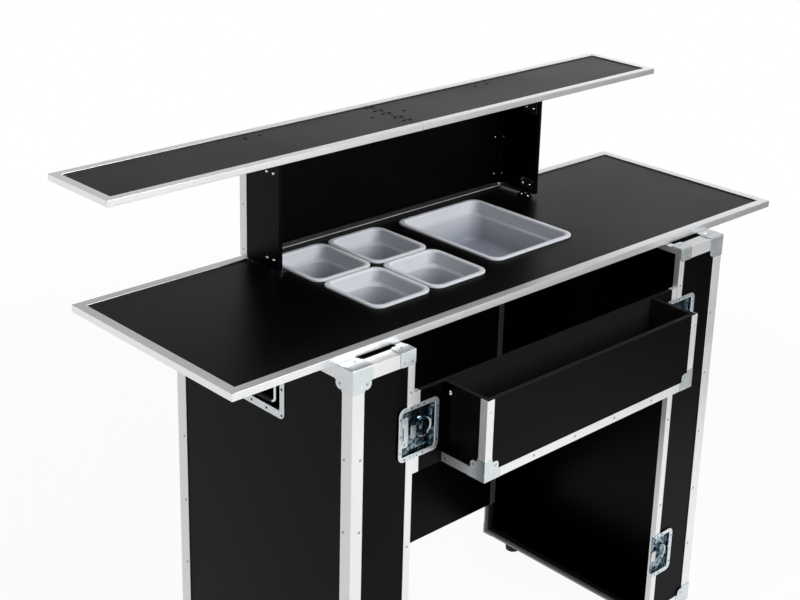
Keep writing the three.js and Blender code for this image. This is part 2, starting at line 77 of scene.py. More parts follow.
# %% Camera
FOCAL_PIXELS = 1538.62
CAMERA_PLACE = Vector((-2.3049, -2.1835, 2.2503))
CAMERA_YAW = 0.7615
CAMERA_PITCH = -0.3356
CAMERA_ROLL = 0.0258
AXIS_ROW = 205
IMAGE_WIDTH = 800
IMAGE_HEIGHT = 600
SENSOR_WIDTH = 36

lens = bpy.data.cameras.new("photo_camera")
lens.sensor_width = SENSOR_WIDTH
lens.lens = FOCAL_PIXELS * lens.sensor_width / IMAGE_WIDTH
lens.shift_y = (AXIS_ROW - IMAGE_HEIGHT / 2) / IMAGE_WIDTH
camera = bpy.data.objects.new("photo_camera", lens)
scene.collection.objects.link(camera)
looking = Vector((
    math.sin(CAMERA_YAW) * math.cos(CAMERA_PITCH),
    math.cos(CAMERA_YAW) * math.cos(CAMERA_PITCH),
    math.sin(CAMERA_PITCH),
))
level = Vector((math.cos(CAMERA_YAW), -math.sin(CAMERA_YAW), 0))
lifted = level.cross(looking)
right = level * math.cos(CAMERA_ROLL) + lifted * math.sin(CAMERA_ROLL)
above = lifted * math.cos(CAMERA_ROLL) - level * math.sin(CAMERA_ROLL)
turn = Matrix((right, above, -looking)).transposed().to_4x4()
camera.matrix_world = Matrix.Translation(CAMERA_PLACE) @ turn
scene.camera = camera
print("camera: lens", round(lens.lens, 1), "mm, shift", round(lens.shift_y, 3))

# %% [markdown]
# Materials are small networks of nodes. They can be joined by hand, link by link, but that is long to
# write and hard to read. Here one class wraps a socket and lets Python's operators add Math nodes, so a
# formula still looks like one. `add` makes every other node from its type, its settings and what goes into
# its sockets.

# %% Shader sockets with operators
class Wire:
    """An output socket. Sums and products of wires add Math nodes to its tree."""

    def __init__(self, tree, socket=None):
        self.tree = tree
        self.socket = socket

    def add(self, kind, settings, inputs, output=0):
        """Adds a node of this type, sets it, fills its sockets, and gives one of its outputs."""
        node = self.tree.nodes.new(kind)
        for key, value in settings.items():
            setattr(node, key, value)
        for key, value in inputs.items():
            if isinstance(value, Wire):
                self.tree.links.new(value.socket, node.inputs[key])
            else:
                node.inputs[key].default_value = value
        return Wire(self.tree, node.outputs[output]) if len(node.outputs) else Wire(self.tree)

    def maths(self, operation, first, second):
        return self.add("ShaderNodeMath", {"operation": operation}, {0: first, 1: second})

    def __add__(self, other):
        return self.maths("ADD", self, other)

    def __sub__(self, other):
        return self.maths("SUBTRACT", self, other)

    def __rsub__(self, other):
        return self.maths("SUBTRACT", other, self)

    def __mul__(self, other):
        return self.maths("MULTIPLY", self, other)

    __radd__ = __add__
    __rmul__ = __mul__


def ramp(wire, value, start, end, first=0.0, last=1.0, soft=False):
    """Goes from the first number to the last while a value goes from the start to the end."""
    settings = {"interpolation_type": "SMOOTHSTEP"} if soft else {}
    return wire.add("ShaderNodeMapRange", settings, {"Value": value, 1: start, 2: end, 3: first, 4: last})


def reach(wire, vector, direction):
    """How far a vector reaches in a direction."""
    return wire.add("ShaderNodeVectorMath", {"operation": "DOT_PRODUCT"}, {0: vector, 1: direction}, "Value")


print("networks are written with:", Wire.__name__, ramp.__name__, reach.__name__)

# %% [markdown]
# The studio is white all round, so the background is plain white to the camera. A panorama picture could
# light the bar, but a few nodes on the direction of view need no file and are easier to tune. Metal and
# gloss see the white up to a little above the horizon, brightest where a light card stands behind the
# bar's right end. Higher up it grows dim, as under an unlit ceiling, which keeps the black boards black.

# %% Studio background
SKY_LIGHT = 0.20
WALL_GLOW, WALL_TOP = 1.25, 0.22
CEILING, CEILING_STARTS = 0.28, 0.44
LIGHT_CARD = 1.7
CARD_SIDE = (0.95, 0.30, 0)
CARD_EDGE, CARD_MIDDLE = 0.70, 0.95


def ray(wire, kind):
    """1 for rays of one kind."""
    return wire.add("ShaderNodeLightPath", {}, {}, kind)


def direct_look(wire):
    """1 for rays that show a surface as it is seen: straight, mirrored or through glass."""
    seen = ray(wire, "Is Camera Ray") + ray(wire, "Is Glossy Ray") + ray(wire, "Is Transmission Ray")
    return wire.maths("MINIMUM", seen, 1)


world = bpy.data.worlds.new("studio")
scene.world = world
world.use_nodes = True
world.node_tree.nodes.clear()
sky = Wire(world.node_tree)
toward = sky.add("ShaderNodeTexCoord", {}, {}, "Generated")
wall = ramp(sky, reach(sky, toward, (0, 0, 1)), WALL_TOP, CEILING_STARTS, WALL_GLOW, CEILING)
card = ramp(sky, reach(sky, toward, CARD_SIDE), CARD_EDGE, CARD_MIDDLE, 1.0, LIGHT_CARD, soft=True)
straight = ray(sky, "Is Camera Ray")
seen = direct_look(sky)
strength = straight + (seen - straight) * (wall * card) + (1 - seen) * SKY_LIGHT
backdrop = sky.add("ShaderNodeBackground", {}, {"Strength": strength})
sky.add("ShaderNodeOutputWorld", {}, {"Surface": backdrop})
print("background:", len(world.node_tree.nodes), "nodes")

# %% [markdown]
# A large pale floor catches a soft shadow near the bar and is white farther off. A plain floor would need
# so much light to look white that the bar's own colours would wash out. So the floor answers the camera
# with white by itself and lets a small share of its real shading through near the bar. In mirrors it is
# dark far off to the front right, so that edges facing there have something dark to show.

# %% Floor
FLOOR_HALF = 30
FLOOR_COLOUR = (0.86, 0.86, 0.86, 1)
SHADOW_SHARE = 0.05
WHITE_AWAY = (1.2, 4.0)
DARK_CORNER = 0.92
DARK_SIDE, DARK_SIDE_REACH = (0.69, 0.72, 0), (-0.7, 0.35)
DARK_FRONT_REACH = (-0.8, -0.1)
DARK_AWAY = (1.3, 2.3)


def blank_finish(name):
    """A material with an empty network, and the wire that fills it."""
    material = bpy.data.materials.new(name)
    material.use_nodes = True
    material.node_tree.nodes.clear()
    return material, Wire(material.node_tree)


floor_mesh = bmesh.new()
bmesh.ops.create_grid(floor_mesh, x_segments=1, y_segments=1, size=FLOOR_HALF)
floor_data = bpy.data.meshes.new("floor")
floor_mesh.to_mesh(floor_data)
floor_mesh.free()
floor = bpy.data.objects.new("floor", floor_data)
scene.collection.objects.link(floor)
floor_finish, ground = blank_finish("pale_floor")
spot = ground.add("ShaderNodeTexCoord", {}, {}, "Object")
away = ground.add("ShaderNodeVectorMath", {"operation": "LENGTH"}, {0: spot}, "Value")
far_white = ramp(ground, away, *WHITE_AWAY, 1 - SHADOW_SHARE, 1, soft=True)
right_side = ramp(ground, reach(ground, spot, DARK_SIDE), *DARK_SIDE_REACH, 0, DARK_CORNER, soft=True)
front_side = ramp(ground, reach(ground, spot, (0, 1, 0)), *DARK_FRONT_REACH, 1, 0, soft=True)
dark_corner = right_side * front_side * ramp(ground, away, *DARK_AWAY, soft=True)
painted = ground.add("ShaderNodeBsdfDiffuse", {}, {"Color": FLOOR_COLOUR})
white = ground.add("ShaderNodeEmission", {}, {"Strength": 1 - ray(ground, "Is Glossy Ray") * dark_corner})
shown = far_white * direct_look(ground)
mixed = ground.add("ShaderNodeMixShader", {}, {0: shown, 1: painted, 2: white})
ground.add("ShaderNodeOutputMaterial", {}, {"Surface": mixed})
floor_data.materials.append(floor_finish)
print("floor:", 2 * FLOOR_HALF, "m square")

# %% [markdown]
# Two lamps light the bar, one overhead and one in front. Small lamps would draw hard shadows and hot spots
# on the metal, so both are wide and soft, at a level where a colour looks as it is written.

# %% Soft lamps
LAMPS = (
    ("overhead", (-0.4, -0.3, 3.9), (0, 0, 0.9), 2.6, 36),
    ("front_fill", (0.6, -3.3, 2.6), (0, 0, 1.0), 1.8, 120),
)
for name, place, aim, size, power in LAMPS:
    light = bpy.data.lights.new(name, "AREA")
    light.size = size
    light.energy = power
    lamp = bpy.data.objects.new(name, light)
    lamp.location = place
    lamp.rotation_mode = "QUATERNION"
    lamp.rotation_quaternion = (Vector(aim) - Vector(place)).to_track_quat("-Z", "Y")
    scene.collection.objects.link(lamp)
scene.view_settings.view_transform = "Standard"
print("lamps:", len(bpy.data.lights))

# %% [markdown]
# The boards are plywood faced with a black phenolic film, finely pebbled and glossy only at a shallow
# angle. Inside the trough it is painted a little paler, as painted light where the worktop keeps the lamps
# out, and its cut upper edges take the same paler colour. An image of the film could be laid on the
# boards, but it would have seams and repeat itself, so the finish is noise on Object coordinates. Most
# finishes here work that way: one smooth noise moves colour and roughness together, as wear and wiping do,
# and some add a fine pebble. `mottled` writes such a paint from its numbers.

# %% Finish helpers and the black laminate
PAINTED_LIGHT_STARTS = 9.5 * MM
PAINTED_LIGHT_AND_CUT_EDGE = (0.0120, 0.0117, 0.0128)
HAIR = 0.3 * MM
LAMINATE_SHINE = 0.052


def finish(name, settings, paint):
    """A material on the principled shader, with plain `settings` and the varying values of a `paint`."""
    material, wire = blank_finish(name)
    place = wire.add("ShaderNodeTexCoord", {}, {}, "Object")
    shader = wire.add("ShaderNodeBsdfPrincipled", {}, {**settings, **paint(wire, place)})
    wire.add("ShaderNodeOutputMaterial", {}, {"Surface": shader})
    return material


def grain(wire, place, scale, detail):
    """Smooth noise between 0 and 1, about `scale` lumps to the metre."""
    return wire.add("ShaderNodeTexNoise", {}, {"Vector": place, "Scale": scale, "Detail": detail}, "Fac")


def pebbled(wire, place, scale, distance, strength):
    """A surface direction roughened by a fine noise."""
    bump = {"Height": grain(wire, place, scale, 1), "Distance": distance, "Strength": strength}
    return wire.add("ShaderNodeBump", {}, bump, "Normal")


def between(wire, share, first, second):
    """A colour between two colours, of which the first may come from other nodes."""
    start = first if isinstance(first, Wire) else (*first, 1)
    return wire.add("ShaderNodeMix", {"data_type": "RGBA"}, {0: share, 6: start, 7: (*second, 1)}, 2)


def axes(wire, place):
    """The distance from the middle plane, the depth and the height of a spot."""
    x, y, z = (wire.add("ShaderNodeSeparateXYZ", {}, {0: place}, axis) for axis in "XYZ")
    return wire.maths("ABSOLUTE", x, 0), y, z


def mottled(scale, detail, first, second, roughness, spread, pebble=None):
    """A paint in which one noise moves the colour and the roughness. `pebble` gives a fine bump."""
    def paint(wire, place):
        drift = grain(wire, place, scale, detail)
        values = {
            "Base Color": between(wire, drift, first, second),
            "Roughness": roughness + drift * spread,
        }
        if pebble:
            values["Normal"] = pebbled(wire, place, *pebble)
        return values
    return paint


laminate_paint = mottled(
    5, 3, (0.0006, 0.0006, 0.0007), (0.0013, 0.0013, 0.0014), 0.28, 0.12, (620, 0.0006, 0.22)
)


def trough_painted_light_paint(wire, place):
    """Laminate with painted light inside the trough, and paler along its cut upper edges."""
    paint = laminate_paint(wire, place)
    low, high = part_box("trough")
    side, depth, height = axes(wire, place)
    x_wall, y_wall = high.x - PAINTED_LIGHT_STARTS, low.y + PAINTED_LIGHT_STARTS
    painted_light_inside = (
        ramp(wire, side, x_wall, x_wall - HAIR) * ramp(wire, depth, y_wall, y_wall + HAIR)
        * ramp(wire, depth, high.y + 2 * HAIR, high.y + HAIR)
    )
    cut_edge = ramp(wire, height, high.z - 2 * HAIR, high.z - HAIR)
    share = wire.maths("MAXIMUM", painted_light_inside, cut_edge)
    paint["Base Color"] = between(wire, share, paint["Base Color"], PAINTED_LIGHT_AND_CUT_EDGE)
    return paint


black_laminate = finish("black_laminate", {"Specular IOR Level": LAMINATE_SHINE}, laminate_paint)
laminate_painted_light = finish("laminate_painted_light", {"Specular IOR Level": LAMINATE_SHINE}, trough_painted_light_paint)
print("laminates:", black_laminate.name, laminate_painted_light.name)

# %% [markdown]
# The cases' edge profiles are drawn aluminium with a pale anodised skin, and those of the worktop and the
# shelf are a little brighter. Pressed fittings are steel with a bluish, cloudy zinc coat. In a recess the
# zinc is painted dark with pale streaks, as painted shade and painted reflections. Rods are brighter and
# rivets duller. The strips at the riser's foot are dark metal, as painted shade under the riser. One grey
# metal could serve for all, but the eye tells them apart by tint and roughness, so each has its own paint.
# The anodised skin and the zinc scatter some light, so they are not quite metallic.

# %% Metals
aluminium_paint = mottled(14, 4, (0.79, 0.795, 0.80), (0.87, 0.87, 0.865), 0.27, 0.14, (900, 0.0002, 0.12))
trim_paint = mottled(11, 4, (0.82, 0.825, 0.835), (0.89, 0.89, 0.89), 0.29, 0.10)
zinc_paint = mottled(55, 3, (0.56, 0.63, 0.67), (0.78, 0.81, 0.82), 0.15, 0.18, (700, 0.0002, 0.15))
bright_paint = mottled(120, 2, (0.60, 0.61, 0.62), (0.74, 0.74, 0.74), 0.16, 0.16)
rivet_paint = mottled(300, 2, (0.30, 0.30, 0.30), (0.46, 0.46, 0.45), 0.38, 0.16)
strip_paint = mottled(70, 3, (0.07, 0.075, 0.08), (0.13, 0.135, 0.14), 0.30, 0.12)
PAINTED_PATCHES, STREAK = 130, (0.42, 0.62)
RECESS_PAINTED_SHADE, RECESS_PAINTED_GLINT = (0.035, 0.075, 0.11), (0.36, 0.45, 0.50)
RECESS_ROUGHNESS, RECESS_SPREAD = 0.10, 0.16
ANODISED = {"Metallic": 0.6}


def recess_painted_shade_and_glint(wire, place):
    """Zinc in a recess, painted dark and pale in streaks by one noise with its contrast raised: painted shade
    and painted reflections.
    """
    patch = grain(wire, place, PAINTED_PATCHES, 2)
    streak = ramp(wire, patch, *STREAK, soft=True)
    return {
        "Base Color": between(wire, streak, RECESS_PAINTED_SHADE, RECESS_PAINTED_GLINT),
        "Roughness": RECESS_ROUGHNESS + patch * RECESS_SPREAD,
    }


edge_aluminium = finish("edge_aluminium", ANODISED, aluminium_paint)
brighter_trim = finish("brighter_trim", {"Metallic": 0.85}, trim_paint)
zinc_steel = finish("zinc_steel", {"Metallic": 0.7}, zinc_paint)
bright_steel = finish("bright_steel", {"Metallic": 1.0}, bright_paint)
steel_painted_shade_and_glint = finish("steel_painted_shade_and_glint", {"Metallic": 1.0}, recess_painted_shade_and_glint)
dull_rivet_and_painted_shade = finish("dull_rivet_and_painted_shade", {"Metallic": 1.0}, rivet_paint)
strip_painted_shade = finish("strip_painted_shade", {"Metallic": 1.0}, strip_paint)
print("zinc steel:", len(zinc_steel.node_tree.nodes), "nodes")

# %% [markdown]
# The channel round a case's open edge is bright outside. At the bottom and the customer's side its inner
# part is painted dark and its end face dim, as painted shade where the worktop and the floor keep the light
# out. The channel could be cut up into pieces with a finish each, but it is one skin, so a mask worked out
# from its own size paints that shade on the aluminium instead.

# %% Aluminium of the cases
RIM_DEPTH, RIM_WIDTH, RIM_BRIGHT, RIM_SKIN = mm(40, 30, 6, 0.5)
RIM_SHADE_INNER, RIM_SHADE_END = 0.97, 0.74
RIM_PAINTED_SHADE = (0.02, 0.02, 0.02)


def case_painted_rim_shade(wire, place):
    """Aluminium with painted shade on the inner part of the rim at the bottom and at the customer's side."""
    paint = aluminium_paint(wire, place)
    low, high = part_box("right_case_trim")
    side, depth, height = axes(wire, place)
    end_face = ramp(wire, side, low.x + 2 * RIM_SKIN, low.x + RIM_SKIN)
    rim = ramp(wire, side, low.x + RIM_DEPTH + HAIR, low.x + RIM_DEPTH)
    bottom = ramp(wire, height, low.z + RIM_WIDTH + HAIR, low.z + RIM_WIDTH)
    customer = ramp(wire, depth, high.y - RIM_WIDTH - HAIR, high.y - RIM_WIDTH)
    inner = (
        ramp(wire, depth, high.y - RIM_BRIGHT, high.y - RIM_BRIGHT - HAIR)
        * ramp(wire, depth, low.y + RIM_BRIGHT, low.y + RIM_BRIGHT + HAIR)
        * ramp(wire, height, low.z + RIM_BRIGHT, low.z + RIM_BRIGHT + HAIR)
    )
    # The inner part is painted dark and the end face dim: painted shade.
    dark = inner * RIM_SHADE_INNER + (1 - inner) * end_face * RIM_SHADE_END
    share = dark * rim * wire.maths("MAXIMUM", bottom, customer)
    paint["Base Color"] = between(wire, share, paint["Base Color"], RIM_PAINTED_SHADE)
    return paint


case_aluminium_painted_rim_shade = finish("case_aluminium_painted_rim_shade", ANODISED, case_painted_rim_shade)
print("rim: dark below", RIM_WIDTH / MM, "mm, bright outside", RIM_BRIGHT / MM, "mm")

# %% [markdown]
# The other finishes are black stove enamel, soft rubber, blackened screws with no shine, and the satin
# white plastic of the pans, faintly grained by its mould. Inside a pan the colour is painted greyer and
# bluer the deeper it lies, as painted shade for the darkness down the well. Light could be traced for that,
# but it is slow and hard to control, so the painted shade follows the height. Outside it is an even pale
# grey.

# %% Enamel, rubber, screws and pan plastic
enamel_paint = mottled(90, 3, (0.010, 0.010, 0.011), (0.022, 0.022, 0.023), 0.32, 0.16)
rubber_paint = mottled(60, 4, (0.012, 0.012, 0.012), (0.030, 0.029, 0.028), 0.62, 0.2, (800, 0.0004, 0.2))
screw_paint = mottled(400, 2, (0.003, 0.003, 0.003), (0.008, 0.008, 0.008), 0.66, 0.2)
pan_outside_paint = mottled(9, 2, (0.62, 0.64, 0.67), (0.70, 0.715, 0.74), 0.34, 0.10)
PAN_FLOOR, PAN_LEDGE, PAN_BRIGHT = 0.946, 1.007, 1.015
WALL_SHARE, RIM_SHARE, TONE_SHARE = 0.5, 0.4, 0.1
PAN_PAINTED_SHADE, PAN_WHITE = (0.25, 0.275, 0.33), (0.65, 0.67, 0.71)
PAN_TONES, PAN_ROUGHNESS, PAN_SPREAD = 9, 0.30, 0.10
PAN_PEBBLE = (1100, 0.0002, 0.12)
SATIN = {"Specular IOR Level": 0.45}


def pan_painted_depth_shade(wire, place):
    """White plastic, painted greyer and bluer with depth as painted shade."""
    tone = grain(wire, place, PAN_TONES, 2)
    height = wire.add("ShaderNodeSeparateXYZ", {}, {0: place}, "Z")
    wall, rim = ramp(wire, height, PAN_FLOOR, PAN_LEDGE), ramp(wire, height, PAN_LEDGE, PAN_BRIGHT)
    share = wall * WALL_SHARE + rim * RIM_SHARE + tone * TONE_SHARE
    return {
        "Base Color": between(wire, share, PAN_PAINTED_SHADE, PAN_WHITE),
        "Roughness": PAN_ROUGHNESS + tone * PAN_SPREAD,
        "Normal": pebbled(wire, place, *PAN_PEBBLE),
    }


black_enamel = finish("black_enamel", {"Specular IOR Level": 0.35}, enamel_paint)
black_rubber = finish("black_rubber", {"Specular IOR Level": 0.3}, rubber_paint)
blackened_screw = finish("blackened_screw", {"Specular IOR Level": 0.0}, screw_paint)
pan_plastic_painted_shade = finish("pan_plastic_painted_shade", SATIN, pan_painted_depth_shade)
pan_outside = finish("pan_outside", SATIN, pan_outside_paint)
print("finishes:", len(bpy.data.materials) - 1)

# %% [markdown]
# The boards are flat panels with cut edges. They could be modelled anew, but the imported model already
# gives them the right shape, so they only take a laminate. The trough and its bridge take the one with
# painted light inside the trough.

# %% Boards in laminate
PLAIN_BOARDS = (
    "left_case_shell", "right_case_shell", "left_front_panel", "right_front_panel", "worktop_board",
    "riser_back", "left_riser_side", "right_riser_side", "left_shelf_board", "right_shelf_board",
)
BOARDS_WITH_PAINTED_LIGHT = ("trough", "bridge_board")
for boards, laminate in ((PLAIN_BOARDS, black_laminate), (BOARDS_WITH_PAINTED_LIGHT, laminate_painted_light)):
    for board in boards:
        data = frame["nodes"][board].data
        data.materials.clear()
        data.materials.append(laminate)
print("laminate on", len(PLAIN_BOARDS) + len(BOARDS_WITH_PAINTED_LIGHT), "boards")

# %% [markdown]
# Metal profiles never have knife edges, and a sharp edge catches no light. A Bevel modifier could round
# them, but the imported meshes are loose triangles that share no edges, so it would find nothing to round.
# Here a copy of each metal node is merged into one skin, its flat triangles are joined into faces, and its
# corners are rounded over. The copy then stands for the node.

# %% Pieces and softened metal
SMOOTH_ANGLE = math.radians(38)
CREASE_ANGLE = math.radians(40)
FLAT_ANGLE = math.radians(0.5)
TOUCHING, TRIM_EDGE = mm(0.01, 0.7)
EDGE_TRIMS = {
    "left_case_trim": case_aluminium_painted_rim_shade, "right_case_trim": case_aluminium_painted_rim_shade, "worktop_trim": brighter_trim,
    "left_shelf_trim": brighter_trim, "right_shelf_trim": brighter_trim,
}


def put(name, mesh, body, material, marked=None, node=None):
    """Makes a bmesh a piece that rides on a body. Faces marked 1 take `marked`; it may stand for a node."""
    data = bpy.data.meshes.new(name)
    mesh.to_mesh(data)
    mesh.free()
    data.materials.append(material)
    if marked:
        data.materials.append(marked)
    data.shade_smooth()
    data.set_sharp_from_angle(angle=SMOOTH_ANGLE)
    piece = bpy.data.objects.new(name, data)
    scene.collection.objects.link(piece)
    flat = piece.modifiers.new("flat_faces_stay_flat", "WEIGHTED_NORMAL")
    flat.keep_sharp = True
    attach(piece, body)
    if node:
        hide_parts(node)
    return piece


def merged_copy(node):
    """A bmesh of a node's skin with its doubled points merged and its flat faces whole."""
    mesh = bmesh.new()
    mesh.from_mesh(frame["nodes"][node].data)
    bmesh.ops.remove_doubles(mesh, verts=mesh.verts, dist=TOUCHING)
    bmesh.ops.dissolve_limit(
        mesh, angle_limit=FLAT_ANGLE, verts=mesh.verts, edges=mesh.edges, delimit=set()
    )
    return mesh


def round_over(mesh, edges, width, segments=2):
    """Rounds edges over."""
    bmesh.ops.bevel(
        mesh, geom=edges, offset=width, offset_type="OFFSET", segments=segments, profile=0.5,
        affect="EDGES", clamp_overlap=True, material=-1,
    )


def creases(mesh):
    """The edges where two faces meet at an angle."""
    return [edge for edge in mesh.edges if edge.is_manifold and edge.calc_face_angle(0) > CREASE_ANGLE]


def softened(node, width, material):
    """A rounded-over piece that stands for a metal node."""
    mesh = merged_copy(node)
    round_over(mesh, creases(mesh), width)
    return put(node + "_rounded", mesh, body_of_node[node], material, node=node)


for trim, metal in EDGE_TRIMS.items():
    softened(trim, TRIM_EDGE, metal)
print("rounded:", len(EDGE_TRIMS), "edge trims")

# %% [markdown]
# A corner fitting is a steel cap over an outer corner of a case, pressed from one sheet. All its edges
# could be rounded alike, but then it would look cast. So the three folds, which each lie in two of its
# outer faces, are drawn round a large radius, and the free edges are only eased.

# %% Corner fittings
CORNER_FOLD, CORNER_EDGE = mm(3.2, 0.4)
CORNERS = [
    f"{side}_{face}_{height}_corner"
    for side in ("left", "right") for face in ("bartender", "customer") for height in ("top", "bottom")
]


def corner_fitting(node):
    """A pressed corner fitting that stands for its node."""
    low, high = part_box(node)
    tip = (
        max(low.x, high.x, key=abs), low.y if "bartender" in node else high.y,
        high.z if "top" in node else low.z,
    )
    mesh = merged_copy(node)

    def flush(edge, axis):
        return all(abs(vert.co[axis] - tip[axis]) < TOUCHING for vert in edge.verts)

    folds = [edge for edge in mesh.edges if sum(flush(edge, axis) for axis in range(3)) == 2]
    round_over(mesh, folds, CORNER_FOLD, 3)
    round_over(mesh, creases(mesh), CORNER_EDGE)
    return put(node + "_pressed", mesh, body_of_node[node], zinc_steel, node=node)


for corner in CORNERS:
    corner_fitting(corner)
print("pressed:", len(CORNERS), "corner fittings")

# %% [markdown]
# Rivets hold the profiles and fittings to the boards. A head could be half a ball, but that stands too
# proud and costs many faces. So it is a low dome, a short cone with its top edge rounded over, or with a
# sunk socket if it is a screw. Heads that move together share one mesh. They are placed on the right case
# and mirrored for the left.

# %% Rivets on the half cases
RIVET = mm(3.3, 0.9)
HEAD_TOP, HEAD_ROUND, HEAD_SIDES = 0.8, 0.55, 12
SOCKET_RIM, SOCKET_WALL, SOCKET_DEPTH = 0.38, 0.04, 0.6
CORNER_EAR, EAR_SKIN, LEG_RIVET, RIM_RIVET = mm(35, 1.8, 22, 9)
LOWEST_UPRIGHT, HIGHEST_UPRIGHT = mm(172, 192)
DEPTH_ENDS = 105 * MM
RIM_RIVETS_UP, RIM_RIVET_DOWN = mm(330, 560), 90 * MM
OUTWARD, DOWN = (1, 0, 0), (0, 0, -1)
case_low, case_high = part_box("right_case_trim")


def add_head(mesh, point, out, radius=RIVET[0], height=RIVET[1], socket=False, mark=0):
    """One domed head that stands on a face. `mark` is the finish that its faces take."""
    out = Vector(out)
    upright = out.to_track_quat("Z", "Y").to_matrix().to_4x4()
    place = Matrix.Translation(Vector(point) + out * height / 2) @ upright
    made = bmesh.ops.create_cone(
        mesh, cap_ends=True, segments=HEAD_SIDES, radius1=radius, radius2=radius * HEAD_TOP,
        depth=height, matrix=place,
    )["verts"]
    faces = {face for vert in made for face in vert.link_faces}
    for face in faces:
        face.material_index = mark
    top = max(faces, key=lambda face: face.calc_center_median().dot(out))
    if socket:
        for inset, depth in ((SOCKET_RIM, 0), (SOCKET_WALL, SOCKET_DEPTH)):
            bmesh.ops.inset_region(mesh, faces=[top], thickness=radius * inset, depth=-height * depth)
        return
    round_over(mesh, list(top.edges), height * HEAD_ROUND)


def spaced(first, last, count):
    """Evenly spaced numbers from first to last."""
    return [first + (last - first) * step / (count - 1) for step in range(count)]


def case_rivets(side):
    """All rivets of the right case, or of the left one as its mirror image."""
    outer, rim = case_high.x, case_low.x + RIM_RIVET
    leg, ear = outer - LEG_RIVET, outer - CORNER_EAR
    low, high = case_low.z, case_high.z
    uprights = spaced(low + LOWEST_UPRIGHT, high - HIGHEST_UPRIGHT, 5)
    rim_heights = [low + up for up in RIM_RIVETS_UP] + [high - RIM_RIVET_DOWN]
    ear_heights = (low + CORNER_EAR, high - CORNER_EAR)
    heads = []
    for y, out in ((case_low.y, -1), (case_high.y, 1)):
        across = (0, out, 0)
        heads += [((leg, y, z), across) for z in uprights]
        heads += [((outer, y - out * LEG_RIVET, z), OUTWARD) for z in uprights]
        heads += [((rim, y, z), across) for z in rim_heights]
        heads += [((ear, y + out * EAR_SKIN, z), across) for z in ear_heights]
        heads += [((outer + EAR_SKIN, y - out * CORNER_EAR, z), OUTWARD) for z in ear_heights]
        heads.append(((ear, y - out * CORNER_EAR, low - EAR_SKIN), DOWN))
    for y in spaced(case_low.y + DEPTH_ENDS, case_high.y - DEPTH_ENDS, 3):
        heads += [((outer, y, z), OUTWARD) for z in (low + LEG_RIVET, high - LEG_RIVET)]
        heads += [((x, y, low), DOWN) for x in (leg, rim)]
    mesh = bmesh.new()
    mirror = Vector((side, 1, 1))
    for point, out in heads:
        add_head(mesh, Vector(point) * mirror, Vector(out) * mirror)
    return mesh


for side, name in SIDES:
    rivets = put(f"{name}_case_rivets", case_rivets(side), f"{name}_case", dull_rivet_and_painted_shade)
    print(rivets.name, len(rivets.data.polygons), "faces")

# %% [markdown]
# Where the channel round a case's open edge turns a corner, a folded strip of steel covers the joint. It
# could be a block with a notch, but sheet metal is easier to shape while it is thin. So two faces that
# share a fold get rounded free corners first and their thickness last. The strip stops flush with the open
# edge, because the cases close against each other there.

# %% End fittings on the open edge
FITTING_LENGTH, FITTING_DEPTH, FITTING_DROP, FITTING_SKIN = mm(40, 33, 32, 1.5)
FITTING_CORNER, FITTING_FOLD = mm(7, 2.5)
FITTING_RIVET, FITTING_SCREW = mm(2.6, 0.9), mm(3.2, 0.8)
RIVETS_ALONG, RIVETS_DOWN, SCREW_IN = (0.25, 0.75), 0.72, 0.62
SEAT_GAP = 0.3 * MM


def round_points(mesh, points, radius, segments=5):
    """Rounds the corners of a flat sheet."""
    bmesh.ops.bevel(
        mesh, geom=points, offset=radius, offset_type="OFFSET", segments=segments, profile=0.5,
        affect="VERTICES", material=-1,
    )


def turn_out(mesh):
    """Turns all faces to the outside."""
    bmesh.ops.recalc_face_normals(mesh, faces=mesh.faces)


def thicken(mesh, skin):
    """Gives a sheet its thickness, behind its faces."""
    bmesh.ops.solidify(mesh, geom=list(mesh.faces), thickness=skin)
    turn_out(mesh)


def folded_strip(start, along, first, second):
    """A strip folded at a line: one leg along `first`, the other along `second`, both as vectors."""
    mesh = bmesh.new()
    legs = (first, Vector(), second)
    rows = [[mesh.verts.new(start + leg + along * step) for step in (0, 1)] for leg in legs]
    for upper, lower in zip(rows, rows[1:]):
        mesh.faces.new((upper[0], upper[1], lower[1], lower[0]))
    fold = [edge for edge in mesh.edges if len(edge.link_faces) == 2]
    round_points(mesh, rows[0] + rows[2], FITTING_CORNER)
    round_over(mesh, fold, FITTING_FOLD, 3)
    return mesh


def end_fitting(side, y_side, z_side):
    """One folded end fitting, with its heads, at a corner of a case's open edge."""
    skin = SEAT_GAP + FITTING_SKIN
    y_edge = (case_low.y if y_side < 0 else case_high.y) + y_side * skin
    z_edge = (case_low.z if z_side < 0 else case_high.z) + z_side * skin
    edge = Vector((side * case_low.x, y_edge, z_edge))
    along = Vector((side * FITTING_LENGTH, 0, 0))
    inward, down = Vector((0, -y_side * FITTING_DEPTH, 0)), Vector((0, 0, -z_side * FITTING_DROP))
    mesh = folded_strip(edge, along, inward, down)
    middle = edge + along / 2 - Vector((0, y_side, z_side)) * FITTING_DEPTH / 2
    turn_out(mesh)
    if sum((face.calc_center_median() - middle).dot(face.normal) for face in mesh.faces) < 0:
        bmesh.ops.reverse_faces(mesh, faces=mesh.faces)
    thicken(mesh, FITTING_SKIN)
    for share in RIVETS_ALONG:
        add_head(mesh, edge + along * share + down * RIVETS_DOWN, (0, y_side, 0), *FITTING_RIVET, mark=1)
    screw = edge + along / 2 + inward * SCREW_IN
    add_head(mesh, screw, (0, 0, z_side), *FITTING_SCREW, socket=True, mark=1)
    return mesh


made = 0
for side, name in SIDES:
    for y_side, face in ((-1, "bartender"), (1, "customer")):
        for z_side, height in ((1, "top"), (-1, "bottom")):
            fitting = end_fitting(side, y_side, z_side)
            piece = f"{name}_{face}_{height}_end_fitting"
            put(piece, fitting, f"{name}_case", zinc_steel, dull_rivet_and_painted_shade)
            made += 1
print("end fittings:", made)

